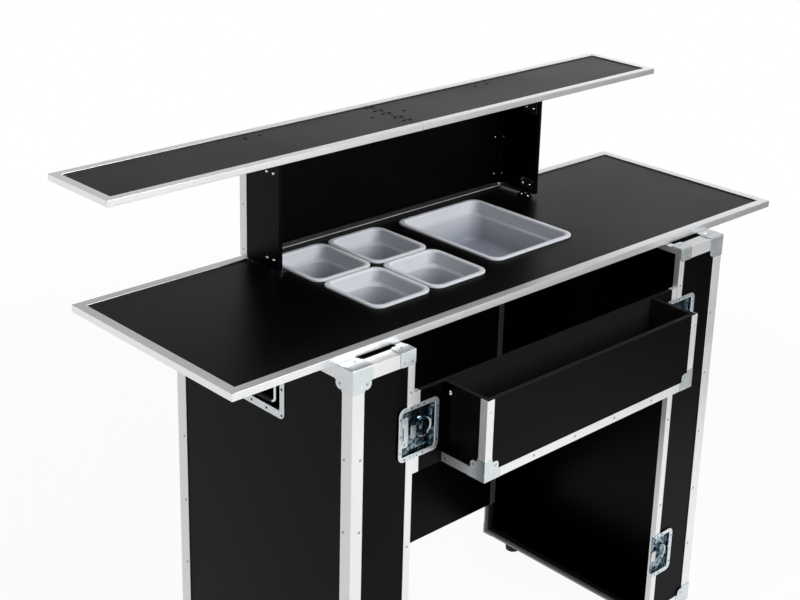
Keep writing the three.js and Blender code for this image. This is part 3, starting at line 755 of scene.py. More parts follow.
# %% [markdown]
# The handle and the latches sit in dishes pressed from one sheet. A dish could be cut out of a block with
# a Boolean, which leaves untidy faces at the round corners. Here the outline is four points with rounded
# corners, and insets walk in from the flange: a rolled lip, a sloping wall and a flat floor. Solidifying
# gives the sheet its thickness, and what lies below the lip is marked for a darker finish, as painted shade
# in the recess.

# %% Pressed dishes
RECESS_STARTS, DISH_SKIN = mm(1.2, 1.2)
HANDLE_STEPS = ((13.8 * MM, 0), mm(2.0, 1.4), mm(1.8, 12.6), mm(1.5, 1.2))
HANDLE_CORNER, FLANGE_MIDDLE = mm(14, 8)
FLANGE_RIVET = mm(2.8, 0.9)


def rectangle(first, last, low, high):
    """The four corners of a rectangle, in turn."""
    return (first, low), (last, low), (last, high), (first, high)


def pressed_dish(corners, radius, steps, split=None):
    """A dish pressed into a flat sheet. `steps` are pairs of inset and depth, from the flange inward."""
    mesh = bmesh.new()
    points = [mesh.verts.new(corner) for corner in corners]
    mesh.faces.new(points)
    round_points(mesh, points, radius, 6)
    floor_face = mesh.faces[:][0]
    mesh.normal_update()
    out = floor_face.normal.copy()
    for inset, depth in steps:
        bmesh.ops.inset_region(
            mesh, faces=[floor_face], thickness=inset, depth=-depth, use_even_offset=True, use_boundary=True
        )
    for face in mesh.faces:
        sunk = (Vector(corners[0]) - face.calc_center_median()).dot(out)
        face.material_index = 1 if sunk > RECESS_STARTS else 0
    if split:
        sheet = mesh.verts[:] + mesh.edges[:] + mesh.faces[:]
        bmesh.ops.bisect_plane(mesh, geom=sheet, plane_co=split[0], plane_no=split[1], clear_outer=True)
    thicken(mesh, DISH_SKIN)
    return mesh


def handle_dish(side, node):
    """The dish of a case's handle, with rivets round its flange."""
    low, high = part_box(node)
    face = high.x if side > 0 else low.x
    corners = [(face, y, z) for y, z in rectangle(low.y, high.y, low.z, high.z)]
    if side < 0:
        corners.reverse()
    mesh = pressed_dish(corners, HANDLE_CORNER, HANDLE_STEPS)
    along = spaced(low.y + FLANGE_MIDDLE, high.y - FLANGE_MIDDLE, 4)
    upward = spaced(low.z + FLANGE_MIDDLE, high.z - FLANGE_MIDDLE, 3)
    for y in along:
        for z in upward:
            if y in (along[0], along[-1]) or z in (upward[0], upward[-1]):
                add_head(mesh, (face, y, z), (side, 0, 0), *FLANGE_RIVET, mark=1)
    return mesh


for side, name in SIDES:
    node = f"{name}_handle_dish"
    pressed = handle_dish(side, node)
    # Below the lip the handle's dish takes black laminate: painted shade in its recess.
    dish = put(node + "_pressed", pressed, f"{name}_case", zinc_steel, black_laminate, node)
    print(dish.name, len(dish.data.polygons), "faces")

# %% [markdown]
# The bail is one bent rod with a moulded grip. A curve with a round bevel could make it, but its bends
# would only be as true as the curve's handles. So it is made the way a bending machine works: a disc is
# pushed straight along, spun round the bend, pushed on, and so on. The grip, with its shallow finger
# waves, is a profile that is spun once round.

# %% Bent bails
BAIL_BEND, BAIL_SPAN = mm(9, 83)
GRIP_END, GRIP_MIDDLE, GRIP_WAVE = mm(0.9, 1.5, 0.4)
ROD_SIDES, BEND_STEPS = 14, 6
GRIP_WAVES, GRIP_POINTS, GRIP_SIDES = 3, 25, 20
SEAM = 0.005 * MM


def only(items, kind):
    """The items of one kind, out of a list of points, edges and faces."""
    return [item for item in items if isinstance(item, kind)]


def push(mesh, faces, way):
    """Pushes faces out along a vector and gives the faces at the far end."""
    drawn = bmesh.ops.extrude_face_region(mesh, geom=faces)["geom"]
    bmesh.ops.translate(mesh, verts=only(drawn, bmesh.types.BMVert), vec=way)
    return only(drawn, bmesh.types.BMFace)


def close_seams(mesh):
    """Merges points that meet and turns the faces out."""
    bmesh.ops.remove_doubles(mesh, verts=mesh.verts, dist=SEAM)
    turn_out(mesh)


def turned(profile, centre, steps):
    """A solid of revolution about a line along Y. `profile` gives radius and place on the line."""
    mesh = bmesh.new()
    line = [mesh.verts.new(centre + Vector((radius, along, 0))) for radius, along in profile]
    edges = [mesh.edges.new(pair) for pair in zip(line, line[1:])]
    bmesh.ops.spin(
        mesh, geom=line + edges, cent=centre, axis=(0, 1, 0), angle=2 * math.pi, steps=steps, use_merge=True
    )
    close_seams(mesh)
    return mesh


def bent_rod(start, radius, moves):
    """A rod made by pushing a disc along, at first to +Y. A move is a length and then a bend about X."""
    mesh = bmesh.new()
    at, heading, axis = start, Vector((0, 1, 0)), Vector((1, 0, 0))
    place = Matrix.Translation(start) @ heading.to_track_quat("Z", "Y").to_matrix().to_4x4()
    bmesh.ops.create_circle(mesh, cap_ends=True, segments=ROD_SIDES, radius=radius, matrix=place)
    tip = mesh.faces[:]
    first_end = tip[0]
    for length, angle in moves:
        passed = [face for face in tip if face is not first_end]
        tip = push(mesh, tip, heading * length)
        at = at + heading * length
        bmesh.ops.delete(mesh, geom=passed, context="FACES_ONLY")
        if angle:
            passed = tip
            centre = at + axis.cross(heading) * math.copysign(BAIL_BEND, angle)
            spun = bmesh.ops.spin(
                mesh, geom=tip, cent=centre, axis=axis, angle=angle, steps=BEND_STEPS, use_duplicate=False
            )["geom_last"]
            tip = only(spun, bmesh.types.BMFace)
            bend = Matrix.Rotation(angle, 3, axis)
            at, heading = centre + bend @ (at - centre), bend @ heading
            bmesh.ops.delete(mesh, geom=[face for face in passed if face.is_valid], context="FACES_ONLY")
    close_seams(mesh)
    return mesh


def handle_bail(node):
    """The bail of a case's handle: two pins, two legs and a grip."""
    low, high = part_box(node)
    rod = (high.x - low.x) / 2
    start = Vector(((low.x + high.x) / 2, low.y, high.z - rod))
    pin = (high.y - low.y - BAIL_SPAN) / 2 - BAIL_BEND
    drop = start.z - (low.z + rod) - 2 * BAIL_BEND
    grip = BAIL_SPAN - 2 * BAIL_BEND
    quarter = math.pi / 2
    moves = ((pin, -quarter), (drop, quarter), (grip, quarter), (drop, -quarter), (pin, 0))
    return bent_rod(start, rod, moves)


def moulded_grip(node):
    """The sleeve on a bail's lower part, with three shallow finger waves."""
    low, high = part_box(node)
    rod = (high.x - low.x) / 2
    centre = Vector(((low.x + high.x) / 2, (low.y + high.y) / 2, low.z + rod))
    half = BAIL_SPAN / 2 - BAIL_BEND
    sleeve = [(rod, -half), (rod + GRIP_END, -half)]
    for along in spaced(-half, half, GRIP_POINTS)[1:-1]:
        wave = GRIP_WAVE * math.cos(GRIP_WAVES * math.pi * along / half)
        sleeve.append((rod + GRIP_MIDDLE - wave, along))
    sleeve += [(rod + GRIP_END, half), (rod, half)]
    return turned(sleeve, centre, GRIP_SIDES)


for name in ("left", "right"):
    node = f"{name}_handle_bail"
    put(f"{name}_handle_grip", moulded_grip(node), f"{name}_bail", black_rubber)
    bail = put(node + "_bent", handle_bail(node), f"{name}_bail", bright_steel, node=node)
    print(bail.name, len(bail.data.polygons), "faces")

# %% [markdown]
# A butterfly latch is two trays that meet at the split line, both open there. Each could have an open
# outline of its own, but then their lips might not meet. So each is pressed as if it ran on past the split
# and is then cut off at it, and the two make one recess.

# %% Latch dishes
LATCH_STEPS = ((9 * MM, 0), mm(1.4, 1.0), mm(1.6, 7.2), mm(0.8, 0.5))
LATCH_CORNER, LATCH_BEYOND = mm(15, 60)
LATCH_RIVET = mm(2.4, 0.9)
LATCH_FLANGE, FAR_RIVETS = mm(4.6, 22)
NEAR_RIVETS = mm(8, 24)
KEEPERS = ("left_upper_keeper", "left_lower_keeper", "bridge_keeper")
LATCH_PLATES = ("bridge_latch_plate", "right_upper_latch_plate", "right_lower_latch_plate")


def latch_dish(node, split_side):
    """A latch half. split_side is 1 where the split line is on its +X side."""
    low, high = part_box(node)
    far, near = (low.x, high.x) if split_side > 0 else (high.x, low.x)
    ends = sorted((far, near + split_side * LATCH_BEYOND))
    corners = [(x, low.y, z) for x, z in rectangle(*ends, low.z, high.z)]
    split = (Vector((near, 0, 0)), Vector((split_side, 0, 0)))
    mesh = pressed_dish(corners, LATCH_CORNER, LATCH_STEPS, split)
    far_row = far + split_side * LATCH_FLANGE
    places = [(far_row, z) for z in (low.z + FAR_RIVETS, (low.z + high.z) / 2, high.z - FAR_RIVETS)]
    for z in (low.z + LATCH_FLANGE, high.z - LATCH_FLANGE):
        places += [(near - split_side * back, z) for back in NEAR_RIVETS]
    for x, z in places:
        add_head(mesh, (x, low.y, z), (0, -1, 0), *LATCH_RIVET, mark=1)
    return mesh


for halves, split_side in ((KEEPERS, 1), (LATCH_PLATES, -1)):
    for node in halves:
        pressed = latch_dish(node, split_side)
        # Below the lip each latch half takes steel painted dark with pale streaks: painted shade and painted
        # reflections.
        put(node + "_pressed", pressed, body_of_node[node], zinc_steel, steel_painted_shade_and_glint, node)
print("latch halves:", len(KEEPERS) + len(LATCH_PLATES))

# %% [markdown]
# A latch is worked by a turning disc with a raised rim and a hub, and a wing handle that lies flat across
# it. The disc could be stacked from cylinders, but a profile spun once round gives rim, groove and hub in
# one skin. The wing is a narrow bow, pinched at the waist: a grid whose rows are drawn in before it is
# pushed to its thickness. The numbers are shares of the disc's radius and depth.

# %% Butterflies
TURNING_HALVES = ("right_upper", "right_lower", "bridge")
DISC_PROFILE = (
    (0, 0), (1, 0), (1, 0.42), (0.96, 0.55), (0.91, 0.42), (0.87, 0.24), (0.36, 0.24), (0.33, 0.50),
    (0.26, 0.58), (0, 0.60),
)
DISC_RIM, DISC_SIDES = (0.88, 0.97), 28
WING_FRONT, WING_SKIN = 0.86, 0.22
WING_LENGTH, WING_WIDTH = 0.80, 0.30
WING_WAIST, WING_FLARE = 0.62, 0.5


def butterfly(node):
    """The turning disc of a latch with its wing handle folded flat."""
    low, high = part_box(node)
    centre = Vector(((low.x + high.x) / 2, high.y, (low.z + high.z) / 2))
    radius, depth = (high.x - low.x) / 2, high.y - low.y
    profile = [(across * radius, -height * depth) for across, height in DISC_PROFILE]
    mesh = turned(profile, centre, DISC_SIDES)
    # Apart from its raised rim, the disc takes steel painted dark with pale streaks, and so does the wing:
    # painted shade and painted reflections.
    for face in mesh.faces:
        off_axis = ((face.calc_center_median() - centre) * Vector((1, 0, 1))).length
        face.material_index = 0 if DISC_RIM[0] * radius < off_axis < DISC_RIM[1] * radius else 1
    length = WING_LENGTH * radius
    place = (
        Matrix.Translation(centre - Vector((0, WING_FRONT * depth, 0)))
        @ Matrix.Rotation(math.pi / 2, 4, "X") @ Matrix.Rotation(math.pi / 2, 4, "Z")
        @ Matrix.Diagonal((length, WING_WIDTH * radius, 1, 1))
    )
    blade = bmesh.ops.create_grid(mesh, x_segments=4, y_segments=1, size=1, matrix=place)["verts"]
    for vert in blade:
        share = abs(vert.co.z - centre.z) / length
        vert.co.x = centre.x + (vert.co.x - centre.x) * (WING_WAIST + WING_FLARE * share)
    push(mesh, list({face for vert in blade for face in vert.link_faces}), (0, WING_SKIN * depth, 0))
    for vert in blade:
        for face in vert.link_faces:
            face.material_index = 1
    turn_out(mesh)
    return mesh


for place in TURNING_HALVES:
    node = f"{place}_butterfly"
    disc = put(node + "_turned", butterfly(node), body_of_node[node], zinc_steel, steel_painted_shade_and_glint, node)
    print(disc.name, len(disc.data.polygons), "faces")

# %% [markdown]
# A hook reaches over the split to the catch, a stepped block in the other half. They could be modelled
# curve by curve, but at this size only their steps and corners show. So both are small plates with round
# corners and an eased front edge.

# %% Catches and hooks
TRAY_FLOOR = DISH_SKIN + 0.6 * MM
CATCH_FROM_SPLIT = 19 * MM
CATCH_STEPS, CATCH_ROUND = (mm(9, 32, 3.0), mm(6, 16, 6.6)), mm(3, 0.8)
CATCH_SCREW, CATCH_SCREW_PLACE = mm(2.8, 1.0), 25 * MM
NOSE_FRONT, NOSE_BACK = mm(0.5, 2.2)
NOSE, NOSE_ROUND = mm(-8, 6, 14), mm(4, 0.6)
WEB, WEB_ROUND = mm(1, 5.5, 9.8), mm(1, 0.2)
FACES_FRONT = -0.99


def block(mesh, low, high):
    """A plain block between two corners. Gives its edges."""
    low, high = Vector(low), Vector(high)
    place = Matrix.Translation((low + high) / 2) @ Matrix.Diagonal((*(high - low), 1))
    made = bmesh.ops.create_cube(mesh, size=1, matrix=place)["verts"]
    return list({edge for vert in made for edge in vert.link_edges})


def plate(mesh, x, y, z, corner, lip):
    """A plate in the XZ plane between pairs of limits, its corners and its front edge rounded."""
    others = set(mesh.faces)
    edges = block(mesh, *zip(x, y, z))
    round_over(mesh, [edge for edge in edges if edge.verts[0].co.y != edge.verts[1].co.y], corner, 4)
    front = [face for face in mesh.faces if face not in others and face.normal.y < FACES_FRONT]
    round_over(mesh, list({edge for face in front for edge in face.edges}), lip)


def catch(node):
    """The stepped catch in a keeper's tray. All keepers have the split on their +X side."""
    low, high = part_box(node)
    x, back, z = high.x - CATCH_FROM_SPLIT, high.y - TRAY_FLOOR, (low.z + high.z) / 2
    mesh = bmesh.new()
    for half_x, half_z, rise in CATCH_STEPS:
        plate(mesh, (x - half_x, x + half_x), (back - rise, back), (z - half_z, z + half_z), *CATCH_ROUND)
    for up in (-CATCH_SCREW_PLACE, CATCH_SCREW_PLACE):
        add_head(mesh, (x, back - CATCH_STEPS[0][2], z + up), (0, -1, 0), *CATCH_SCREW, mark=1)
    return mesh


def hook(node):
    """The hook of a turning half, which reaches over the split: a nose plate on a short web."""
    low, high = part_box(node)
    split, nose_back, z = low.x, low.y + NOSE_BACK, (low.z + high.z) / 2
    nose = (NOSE, (low.y + NOSE_FRONT, nose_back), NOSE_ROUND)
    web = (WEB, (nose_back, high.y - TRAY_FLOOR), WEB_ROUND)
    mesh = bmesh.new()
    for (near, far, half), y, rounding in (nose, web):
        plate(mesh, (split + near, split + far), y, (z - half, z + half), *rounding)
    return mesh


for node in KEEPERS:
    put(node + "_catch", catch(node), body_of_node[node], zinc_steel, dull_rivet_and_painted_shade)
for place in TURNING_HALVES:
    node = f"{place}_latch_plate"
    put(node + "_hook", hook(node), body_of_node[node], bright_steel)
print("catches:", len(KEEPERS), "hooks:", len(TURNING_HALVES))

# %% [markdown]
# Strips of drawn metal finish the bare ends of the boards. They could be painted on with a mask, but they
# stand a little proud and catch light along their edges, so each is a thin block with its edges eased. The
# bridge's strip stops above and below its latch halves, which sit in the same corner. Those on the front
# panel take the rivets' dull metal, as painted shade where they stand in the shadow under the worktop.

# %% Strips on the bridge and the front panel
STRIP_SKIN, STRIP_LIP, BRIDGE_STRIP, LATCH_LAP = mm(1.0, 0.3, 17, 3)
PANEL_STRIP = 18 * MM


def bar(mesh, low, high, lip):
    """A block between two corners with every edge eased."""
    round_over(mesh, block(mesh, low, high), lip)


def mirrored_bar(mesh, side, x_near, x_far, y_low, y_high, z_low, z_high, lip=STRIP_LIP):
    """A bar on the right, or the same bar on the left."""
    x_low, x_high = sorted((side * x_near, side * x_far))
    bar(mesh, (x_low, y_low, z_low), (x_high, y_high, z_high), lip)


board_low, board_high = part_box("bridge_board")
latch_low, latch_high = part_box("bridge_latch_plate")
span = (board_high.x - BRIDGE_STRIP, board_high.x)
front = (board_low.y - STRIP_SKIN, board_low.y)
back = (board_high.y, board_high.y + STRIP_SKIN)
strips = bmesh.new()
for side in (-1, 1):
    mirrored_bar(strips, side, *span, *front, board_low.z, latch_low.z + LATCH_LAP)
    mirrored_bar(strips, side, *span, *front, latch_high.z - LATCH_LAP, board_high.z)
    mirrored_bar(strips, side, *span, *back, board_low.z, board_high.z)
    mirrored_bar(strips, side, *span, front[0], back[1], board_high.z, board_high.z + STRIP_SKIN)
put("bridge_end_strips", strips, "bridge", edge_aluminium)
for side, name in SIDES:
    low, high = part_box(f"{name}_front_panel")
    end = max(abs(low.x), abs(high.x))
    strip = bmesh.new()
    mirrored_bar(strip, side, end - PANEL_STRIP, end, low.y - STRIP_SKIN, low.y, low.z, high.z)
    mirrored_bar(strip, side, end - PANEL_STRIP, end, low.y - STRIP_SKIN, high.y, high.z, high.z + STRIP_SKIN)
    # The front panel's strips take the dull rivet metal as painted shade.
    put(f"{name}_front_panel_strip", strip, f"front_{name}", dull_rivet_and_painted_shade)
print("end strips: bridge", round(span[1] - span[0], 3), "m wide, front panel", PANEL_STRIP, "m")

# %% [markdown]
# The trough hangs on the bridge, with aluminium angles on its front corners and bottom edges. They come
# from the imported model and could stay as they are, but the fittings and rivets on them have to keep within
# the trough's reach. So the front leg is drawn thinner by moving its points, and the edges are rounded
# over.

# %% Trough angles
FRONT_LEG_THINNED, ANGLE_EDGE = mm(1.3, 0.25)
trough_low, trough_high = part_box("trough_trim")
angles = merged_copy("trough_trim")
for vert in angles.verts:
    if vert.co.y < trough_low.y + FRONT_LEG_THINNED / 2:
        vert.co.y += FRONT_LEG_THINNED
round_over(angles, creases(angles), ANGLE_EDGE)
trough_angles = put("trough_angles", angles, "bridge", edge_aluminium, node="trough_trim")
print("trough angles:", len(trough_angles.data.polygons), "faces")

# %% [markdown]
# At each bottom front corner two eared plates meet, each with two arms and a round ear between them for a
# rivet. Arms and ear could be separate shapes, but they would leave faces inside each other. So the
# outline is drawn as eight points, the corners of the ear and the arms are rounded, and the face is pushed
# out to a thin plate.

# %% Trough corner fittings
TROUGH_PLATE, TROUGH_ARM, TROUGH_REACH, TROUGH_EAR = mm(0.7, 21, 46, 9)
ARM_CORNER, EAR_ROUND = 2 * MM, 0.98
EAR_RIVET = mm(3.2, 0.5)
trough_front, trough_end = trough_low.y + FRONT_LEG_THINNED, trough_high.x


def eared_plate(mesh, corner, first, second, out):
    """A flat plate with two arms and a round ear between them, that stands on a face."""
    ear_end, ear_middle = TROUGH_ARM + 2 * TROUGH_EAR, TROUGH_ARM + TROUGH_EAR
    outline = (
        (0, 0), (TROUGH_REACH, 0), (TROUGH_REACH, TROUGH_ARM), (ear_end, TROUGH_ARM), (ear_end, ear_end),
        (TROUGH_ARM, ear_end), (TROUGH_ARM, TROUGH_REACH), (0, TROUGH_REACH),
    )
    others = set(mesh.faces)
    points = [mesh.verts.new(corner + first * u + second * v) for u, v in outline]
    mesh.faces.new(points)
    arm_ends = [points[1], points[7]]
    round_points(mesh, [points[4]], TROUGH_EAR * EAR_ROUND, 6)
    round_points(mesh, arm_ends, ARM_CORNER, 3)
    push(mesh, [face for face in mesh.faces if face not in others], out * TROUGH_PLATE)
    head = corner + (first + second) * ear_middle + out * TROUGH_PLATE
    add_head(mesh, head, out, *EAR_RIVET, mark=1)


for side, name in SIDES:
    corner = Vector((side * trough_end, trough_front, trough_low.z))
    inward, back, up = Vector((-side, 0, 0)), Vector((0, 1, 0)), Vector((0, 0, 1))
    fitting = bmesh.new()
    eared_plate(fitting, corner, inward, up, -back)
    eared_plate(fitting, corner, back, up, -inward)
    turn_out(fitting)
    put(f"trough_{name}_corner_fitting", fitting, "bridge", zinc_steel, dull_rivet_and_painted_shade)
print("trough corner fittings:", len(SIDES))

# %% [markdown]
# Rivets hold the angles, and a bolt with a thicker head sits on each side. Each could be an object of its
# own, but they all ride on the bridge, so they share one mesh.

# %% Trough rivets and bolts
TROUGH_RIVET = mm(3, 0.9)
TROUGH_BOLT = mm(5.5, 3)
BOLT_PLACE = mm(332, -271, 903)
LEG_MIDDLE, TOP_RIVET, BACK_RIVET_Y = mm(10, 25, -270)
FRONT_RIVETS = mm(-190, -64, 64, 190)
FRONT_RIVET_UP = 11 * MM
heads = bmesh.new()
for side in (-1, 1):
    top, out = trough_high.z - TOP_RIVET, (side, 0, 0)
    add_head(heads, (side * (trough_end - LEG_MIDDLE), trough_front, top), (0, -1, 0), *TROUGH_RIVET)
    add_head(heads, (side * trough_end, trough_front + LEG_MIDDLE, top), out, *TROUGH_RIVET)
    add_head(heads, (side * trough_end, BACK_RIVET_Y, trough_low.z + LEG_MIDDLE), out, *TROUGH_RIVET)
    add_head(heads, (side * BOLT_PLACE[0], *BOLT_PLACE[1:]), out, *TROUGH_BOLT)
for x in FRONT_RIVETS:
    add_head(heads, (x, trough_front, trough_low.z + FRONT_RIVET_UP), (0, -1, 0), *TROUGH_RIVET, mark=1)
trough_heads = put("trough_rivets", heads, "bridge", bright_steel, dull_rivet_and_painted_shade)
print("trough rivets:", len(trough_heads.data.polygons), "faces")

# %% [markdown]
# A pan is a drop-in tray moulded from one sheet of plastic, with a rolled rim, a ledge and round corners.
# Insets could step down into it, but they would close the corners up on the way. So the outline, a
# rectangle with round corners, is drawn in steps over the rim, down the wall to the ledge and round into
# the floor. Each step pushes the last face out and draws its corners to their own radius. Faces that look
# outward are marked for their own finish.

# %% White pans
PAN_WALL = 2.4 * MM
FACES_DOWN, FACES_OUT = -0.5, 1 * MM
PAN_PROFILE = (
    (0, 4.8, 27), (0, 2.2, 27), (0.7, 0.9, 26.5), (2, 0.2, 26), (4.6, 0, 25), (8.2, 0.1, 24), (10, 0.8, 23),
    (11.2, 2.4, 22), (11.8, 5, 22), (12.8, 27, 22), (13.8, 29.4, 23.5), (17.4, 32.4, 32), (19, 35, 34),
    (24, 80, 34), (25, 86, 34), (27.5, 90.5, 33), (32, 93.5, 31), (38, 94.8, 28),
)
PANS = ["large_pan"] + [
    f"small_pan_{face}_{side}" for face in ("customer", "bartender") for side in ("left", "right")
]


def draw_down(vert, centre, half, above, below):
    """Moves a point of a round-cornered outline onto the next outline of the profile."""
    inward, down, radius = above
    next_in, next_down, next_radius = below
    for axis in (0, 1):
        offset = vert.co[axis] - centre[axis]
        arc = (abs(offset) - half[axis] + (inward + radius) * MM) / radius
        out = half[axis] - (next_in + next_radius) * MM + arc * next_radius
        vert.co[axis] = centre[axis] + math.copysign(out, offset)
    vert.co.z += (down - next_down) * MM


def moulded_pan(node):
    """A pan drawn from its outline. The profile gives each step's inset, depth and corner radius in mm."""
    low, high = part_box(node)
    centre = (low + high) / 2
    mesh = bmesh.new()
    top = high.z - PAN_PROFILE[0][1] * MM
    points = [mesh.verts.new((x, y, top)) for x, y in rectangle(low.x, high.x, low.y, high.y)]
    mesh.faces.new(points)
    round_points(mesh, points, PAN_PROFILE[0][2] * MM, 7)
    tip = mesh.faces[:]
    for above, below in zip(PAN_PROFILE, PAN_PROFILE[1:]):
        drawn = bmesh.ops.extrude_face_region(mesh, geom=tip)["geom"]
        for vert in only(drawn, bmesh.types.BMVert):
            draw_down(vert, centre, (high - low) / 2, above, below)
        bmesh.ops.delete(mesh, geom=tip, context="FACES_ONLY")
        tip = only(drawn, bmesh.types.BMFace)
    turn_out(mesh)
    if tip[0].normal.z < 0:
        bmesh.ops.reverse_faces(mesh, faces=mesh.faces)
    thicken(mesh, PAN_WALL)
    for face in mesh.faces:
        spot = face.calc_center_median()
        outward = (spot.x - centre.x) * face.normal.x + (spot.y - centre.y) * face.normal.y
        outside = face.normal.z < FACES_DOWN or (outward > FACES_OUT and spot.z < top)
        face.material_index = 1 if outside else 0
    return mesh


for node in PANS:
    pan = put(node + "_moulded", moulded_pan(node), node, pan_plastic_painted_shade, pan_outside, node)
print("pans:", len(PANS), "with", len(pan.data.polygons), "faces each")

# %% [markdown]
# An angle on the worktop seals the gap under the riser's back and stays there when the riser is lifted
# off. A thin dark strip runs along the back's foot. Both are dark metal, as painted shade under the riser's
# back. A profile could be swept along a path for them, but they run straight, so all are long bars, the
# same to the left and to the right.

# %% Seal and foot strip under the riser's back
FOOT_STRIP, SEAL_LIP, SEAL_EDGE, SEAL_SHORT = mm(3.5, 5.5, 1.6, 1)
HINGE_REACH, FOOT_GAP, THIN_LIP = mm(24, 0.2, 0.2)
back_low, back_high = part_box("riser_back")
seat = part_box("worktop_trim")[1].z
foot, face = back_low.z - FOOT_GAP, back_low.y
lip = face - SEAL_LIP


def long_bar(mesh, end, y_low, y_high, z_low, z_high):
    """A bar that reaches as far to the left as to the right."""
    bar(mesh, (-end, y_low, z_low), (end, y_high, z_high), THIN_LIP)


end = back_high.x - SEAL_SHORT
seal, seal_edge, foot_strip = bmesh.new(), bmesh.new(), bmesh.new()
long_bar(seal, end, lip, face, seat, seat + STRIP_SKIN)
long_bar(seal, end, face - STRIP_SKIN, face, seat + STRIP_SKIN, foot)
long_bar(seal_edge, end, lip - SEAL_EDGE, lip, seat, seat + SEAL_EDGE)
long_bar(foot_strip, back_high.x - HINGE_REACH, face - STRIP_SKIN, face, back_low.z, back_low.z + FOOT_STRIP)
put("worktop_seal", seal, "worktop", strip_painted_shade)
put("worktop_seal_edge", seal_edge, "worktop", edge_aluminium)
put("riser_foot_strip", foot_strip, "riser", strip_painted_shade)
print("seal:", round(2 * end, 3), "m long")

# %% [markdown]
# The side panels carry an aluminium strip round their rear edge and a dark one inside their foot, painted
# shade for the shadow there. Foot brackets and hinges come from the imported model and get softer edges.
# The foot brackets take steel painted dark with pale streaks, as painted shade and painted glints. Top
# brackets, bolts and hinge screws could be modelled with their threads and nuts, but only their faces and
# heads show, so thin bars and heads are added. None stands so far in that the sides could not fold flat
# against the back.

# %% Riser sides
RISER_STRIP, SEAT_CLEAR, FOOT_BRACKET = mm(22, 0.4, 2.2)
STRIP_SCREW, STRIP_SCREW_PLACE = mm(2.4, 0.6), 17 * MM
FOOT_STRIP_STARTS, FOOT_STRIP_STOPS = mm(219, 13)
HINGE_SCREW, HINGE_SCREWS = mm(3.2, 0.9), mm(1068, 1163, 1250)
BACK_SCREW_X, SIDE_SCREW_Y = mm(377, 286.5)
FOOT_SCREW, FOOT_SCREW_X, FOOT_SCREW_ROWS = mm(3.6, 2.0), 387 * MM, mm(188, 209)
OUTER_BOLT, INNER_BOLT = mm(4.2, 2.6), mm(3.6, 2.2)
BOLT_ROWS, BOLT_LOW, BOLT_HIGH = mm(190, 212), 21 * MM, 24 * MM
TOP_BRACKET_DEPTH, TOP_BRACKET_DOWN = mm(180, 221), mm(38, 1)
TOP_BRACKET_SKIN, TOP_BRACKET_GAP, TOP_BRACKET_LIP = mm(2.5, 0.3, 0.5)
BRACKET_EDGE, HINGE_LEAF_EDGE = mm(0.4, 0.3)


def riser_strips(side, low, high, inner, outer):
    """The strip round a side panel's rear edge with its screws, and the thin one over the worktop."""
    rear, thin = bmesh.new(), bmesh.new()
    skin = outer + STRIP_SKIN
    mirrored_bar(rear, side, outer, skin, high.y - RISER_STRIP, high.y, low.z, high.z)
    mirrored_bar(rear, side, inner, skin, high.y, high.y + STRIP_SKIN, low.z, high.z)
    for z in spaced(low.z + STRIP_SCREW_PLACE, high.z - STRIP_SCREW_PLACE, 3):
        add_head(rear, (side * skin, high.y - RISER_STRIP / 2, z), (side, 0, 0), *STRIP_SCREW, mark=1)
    below = (high.y - FOOT_STRIP_STOPS, seat + SEAT_CLEAR, foot)
    beside = (high.y - HINGE_REACH, foot, low.z + FOOT_STRIP)
    for part in (below, beside):
        mirrored_bar(thin, side, inner - STRIP_SKIN, inner, FOOT_STRIP_STARTS, *part)
    return rear, thin


def riser_bolts(side, low, high, inner, outer):
    """Hinge screws, screws in the foot, and bolts through a side panel with a head inside and outside."""
    bracket_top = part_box("right_riser_foot_bracket")[0].z + FOOT_BRACKET
    mesh = bmesh.new()
    for z in HINGE_SCREWS:
        add_head(mesh, (side * inner, SIDE_SCREW_Y, z), (-side, 0, 0), *HINGE_SCREW)
    for y in FOOT_SCREW_ROWS:
        add_head(mesh, (side * FOOT_SCREW_X, y, bracket_top), (0, 0, 1), *FOOT_SCREW)
    for y in BOLT_ROWS:
        for z in (low.z + BOLT_LOW, high.z - BOLT_HIGH):
            inside = (side * (inner - TOP_BRACKET_SKIN), y, z)
            add_head(mesh, (side * outer, y, z), (side, 0, 0), *OUTER_BOLT)
            add_head(mesh, inside, (-side, 0, 0), *INNER_BOLT, socket=True)
    return mesh


back_screws = bmesh.new()
for z in HINGE_SCREWS:
    for x in (-BACK_SCREW_X, BACK_SCREW_X):
        add_head(back_screws, (x, back_low.y, z), (0, -1, 0), *HINGE_SCREW)
put("riser_hinge_screws", back_screws, "riser", bright_steel)
for side, name in SIDES:
    low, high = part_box(f"{name}_riser_side")
    inner, outer = sorted((abs(low.x), abs(high.x)))
    body, place = f"riser_{name}", (side, low, high, inner, outer)
    rear, thin = riser_strips(*place)
    put(f"{name}_riser_strip", rear, body, edge_aluminium, dull_rivet_and_painted_shade)
    put(f"{name}_riser_foot_strip", thin, body, strip_painted_shade)
    put(f"{name}_riser_bolts", riser_bolts(*place), body, bright_steel)
    bracket = bmesh.new()
    across = (inner - TOP_BRACKET_SKIN, inner - TOP_BRACKET_GAP)
    upward = [high.z - down for down in TOP_BRACKET_DOWN]
    mirrored_bar(bracket, side, *across, *TOP_BRACKET_DEPTH, *upward, TOP_BRACKET_LIP)
    put(f"{name}_riser_top_bracket", bracket, body, black_enamel)
    # The foot bracket's steel is painted dark with pale streaks: painted shade and painted glints.
    softened(f"{name}_riser_foot_bracket", BRACKET_EDGE, steel_painted_shade_and_glint)
    softened(f"{name}_riser_hinge", HINGE_LEAF_EDGE, black_laminate)
print("riser: strips, brackets and bolts on", len(SIDES), "sides")

# %% [markdown]
# The shelf folds at its seam. Its hinge lies flush and black in the black board, so only a fine line and
# dark screw heads show. Leaves and a barrel could be modelled, but nothing of them would be seen. The
# heads are nearly flush, because the right half folds over onto the left.

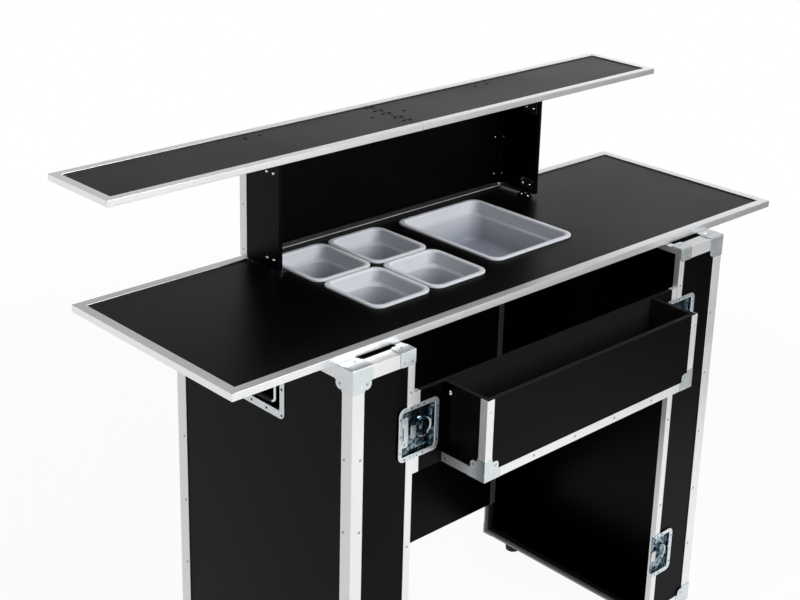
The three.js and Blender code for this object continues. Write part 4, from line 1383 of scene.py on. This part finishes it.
# %% Shelf hinge and screws
SHELF_SCREW = mm(4.4, 0.35)
SEAM_ROW, SEAM_SCREWS = 10 * MM, mm(346, 315, 287, 248, 218)
OTHER_SCREWS = [mm(49, 280), mm(333, 329), mm(372, 329)]
LINE_ACROSS = mm(-3.0, -0.1)
LINE_DEEP, LINE_PROUD, LINE_LIP = mm(2.0, 0.1, 0.05)
hinge_low, hinge_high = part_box("shelf_hinge")
laminate_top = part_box("left_shelf_board")[1].z
line = bmesh.new()
line_low = (LINE_ACROSS[0], hinge_low.y, laminate_top - LINE_DEEP)
line_high = (LINE_ACROSS[1], hinge_high.y, laminate_top + LINE_PROUD)
bar(line, line_low, line_high, LINE_LIP)
put("shelf_hinge_line", line, "shelf_left", black_laminate, node="shelf_hinge")
places = [(SEAM_ROW, y) for y in SEAM_SCREWS] + OTHER_SCREWS
for side, name in SIDES:
    screws = bmesh.new()
    for x, y in places:
        add_head(screws, (side * x, y, laminate_top), (0, 0, 1), *SHELF_SCREW, socket=True)
    put(f"{name}_shelf_screws", screws, f"shelf_{name}", blackened_screw)
print("shelf: hinge line and", 2 * len(places), "screws")

# %% [markdown]
# Last come the rubber feet, the front panel's upright hinges, and the domed studs on the cases that keep
# the worktop from sliding forward. Feet and hinges could be modelled anew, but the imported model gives
# their shape, so only their edges are softened. A stud is made like a rivet head.

# %% Feet, front hinges and studs
FOOT_EDGE, HINGE_EDGE = mm(2.5, 0.4)
STUD = mm(4.6, 3)
STUD_X, STUD_Y = mm(545, -228.5)
FEET = [
    f"{side}_{row}_{face}_foot"
    for side in ("left", "right") for row in ("inner", "outer") for face in ("bartender", "customer")
]
FRONT_HINGES = ("left_front_hinge", "right_front_hinge", "middle_front_hinge")
for node in FEET:
    softened(node, FOOT_EDGE, black_rubber)
for node in FRONT_HINGES:
    softened(node, HINGE_EDGE, black_enamel)
for side, name in SIDES:
    stud = bmesh.new()
    add_head(stud, (side * STUD_X, STUD_Y, case_high.z + EAR_SKIN), (0, 0, 1), *STUD)
    put(f"{name}_worktop_stud", stud, f"{name}_case", edge_aluminium)
print("feet:", len(FEET), "hinges:", len(FRONT_HINGES), "studs:", len(SIDES))
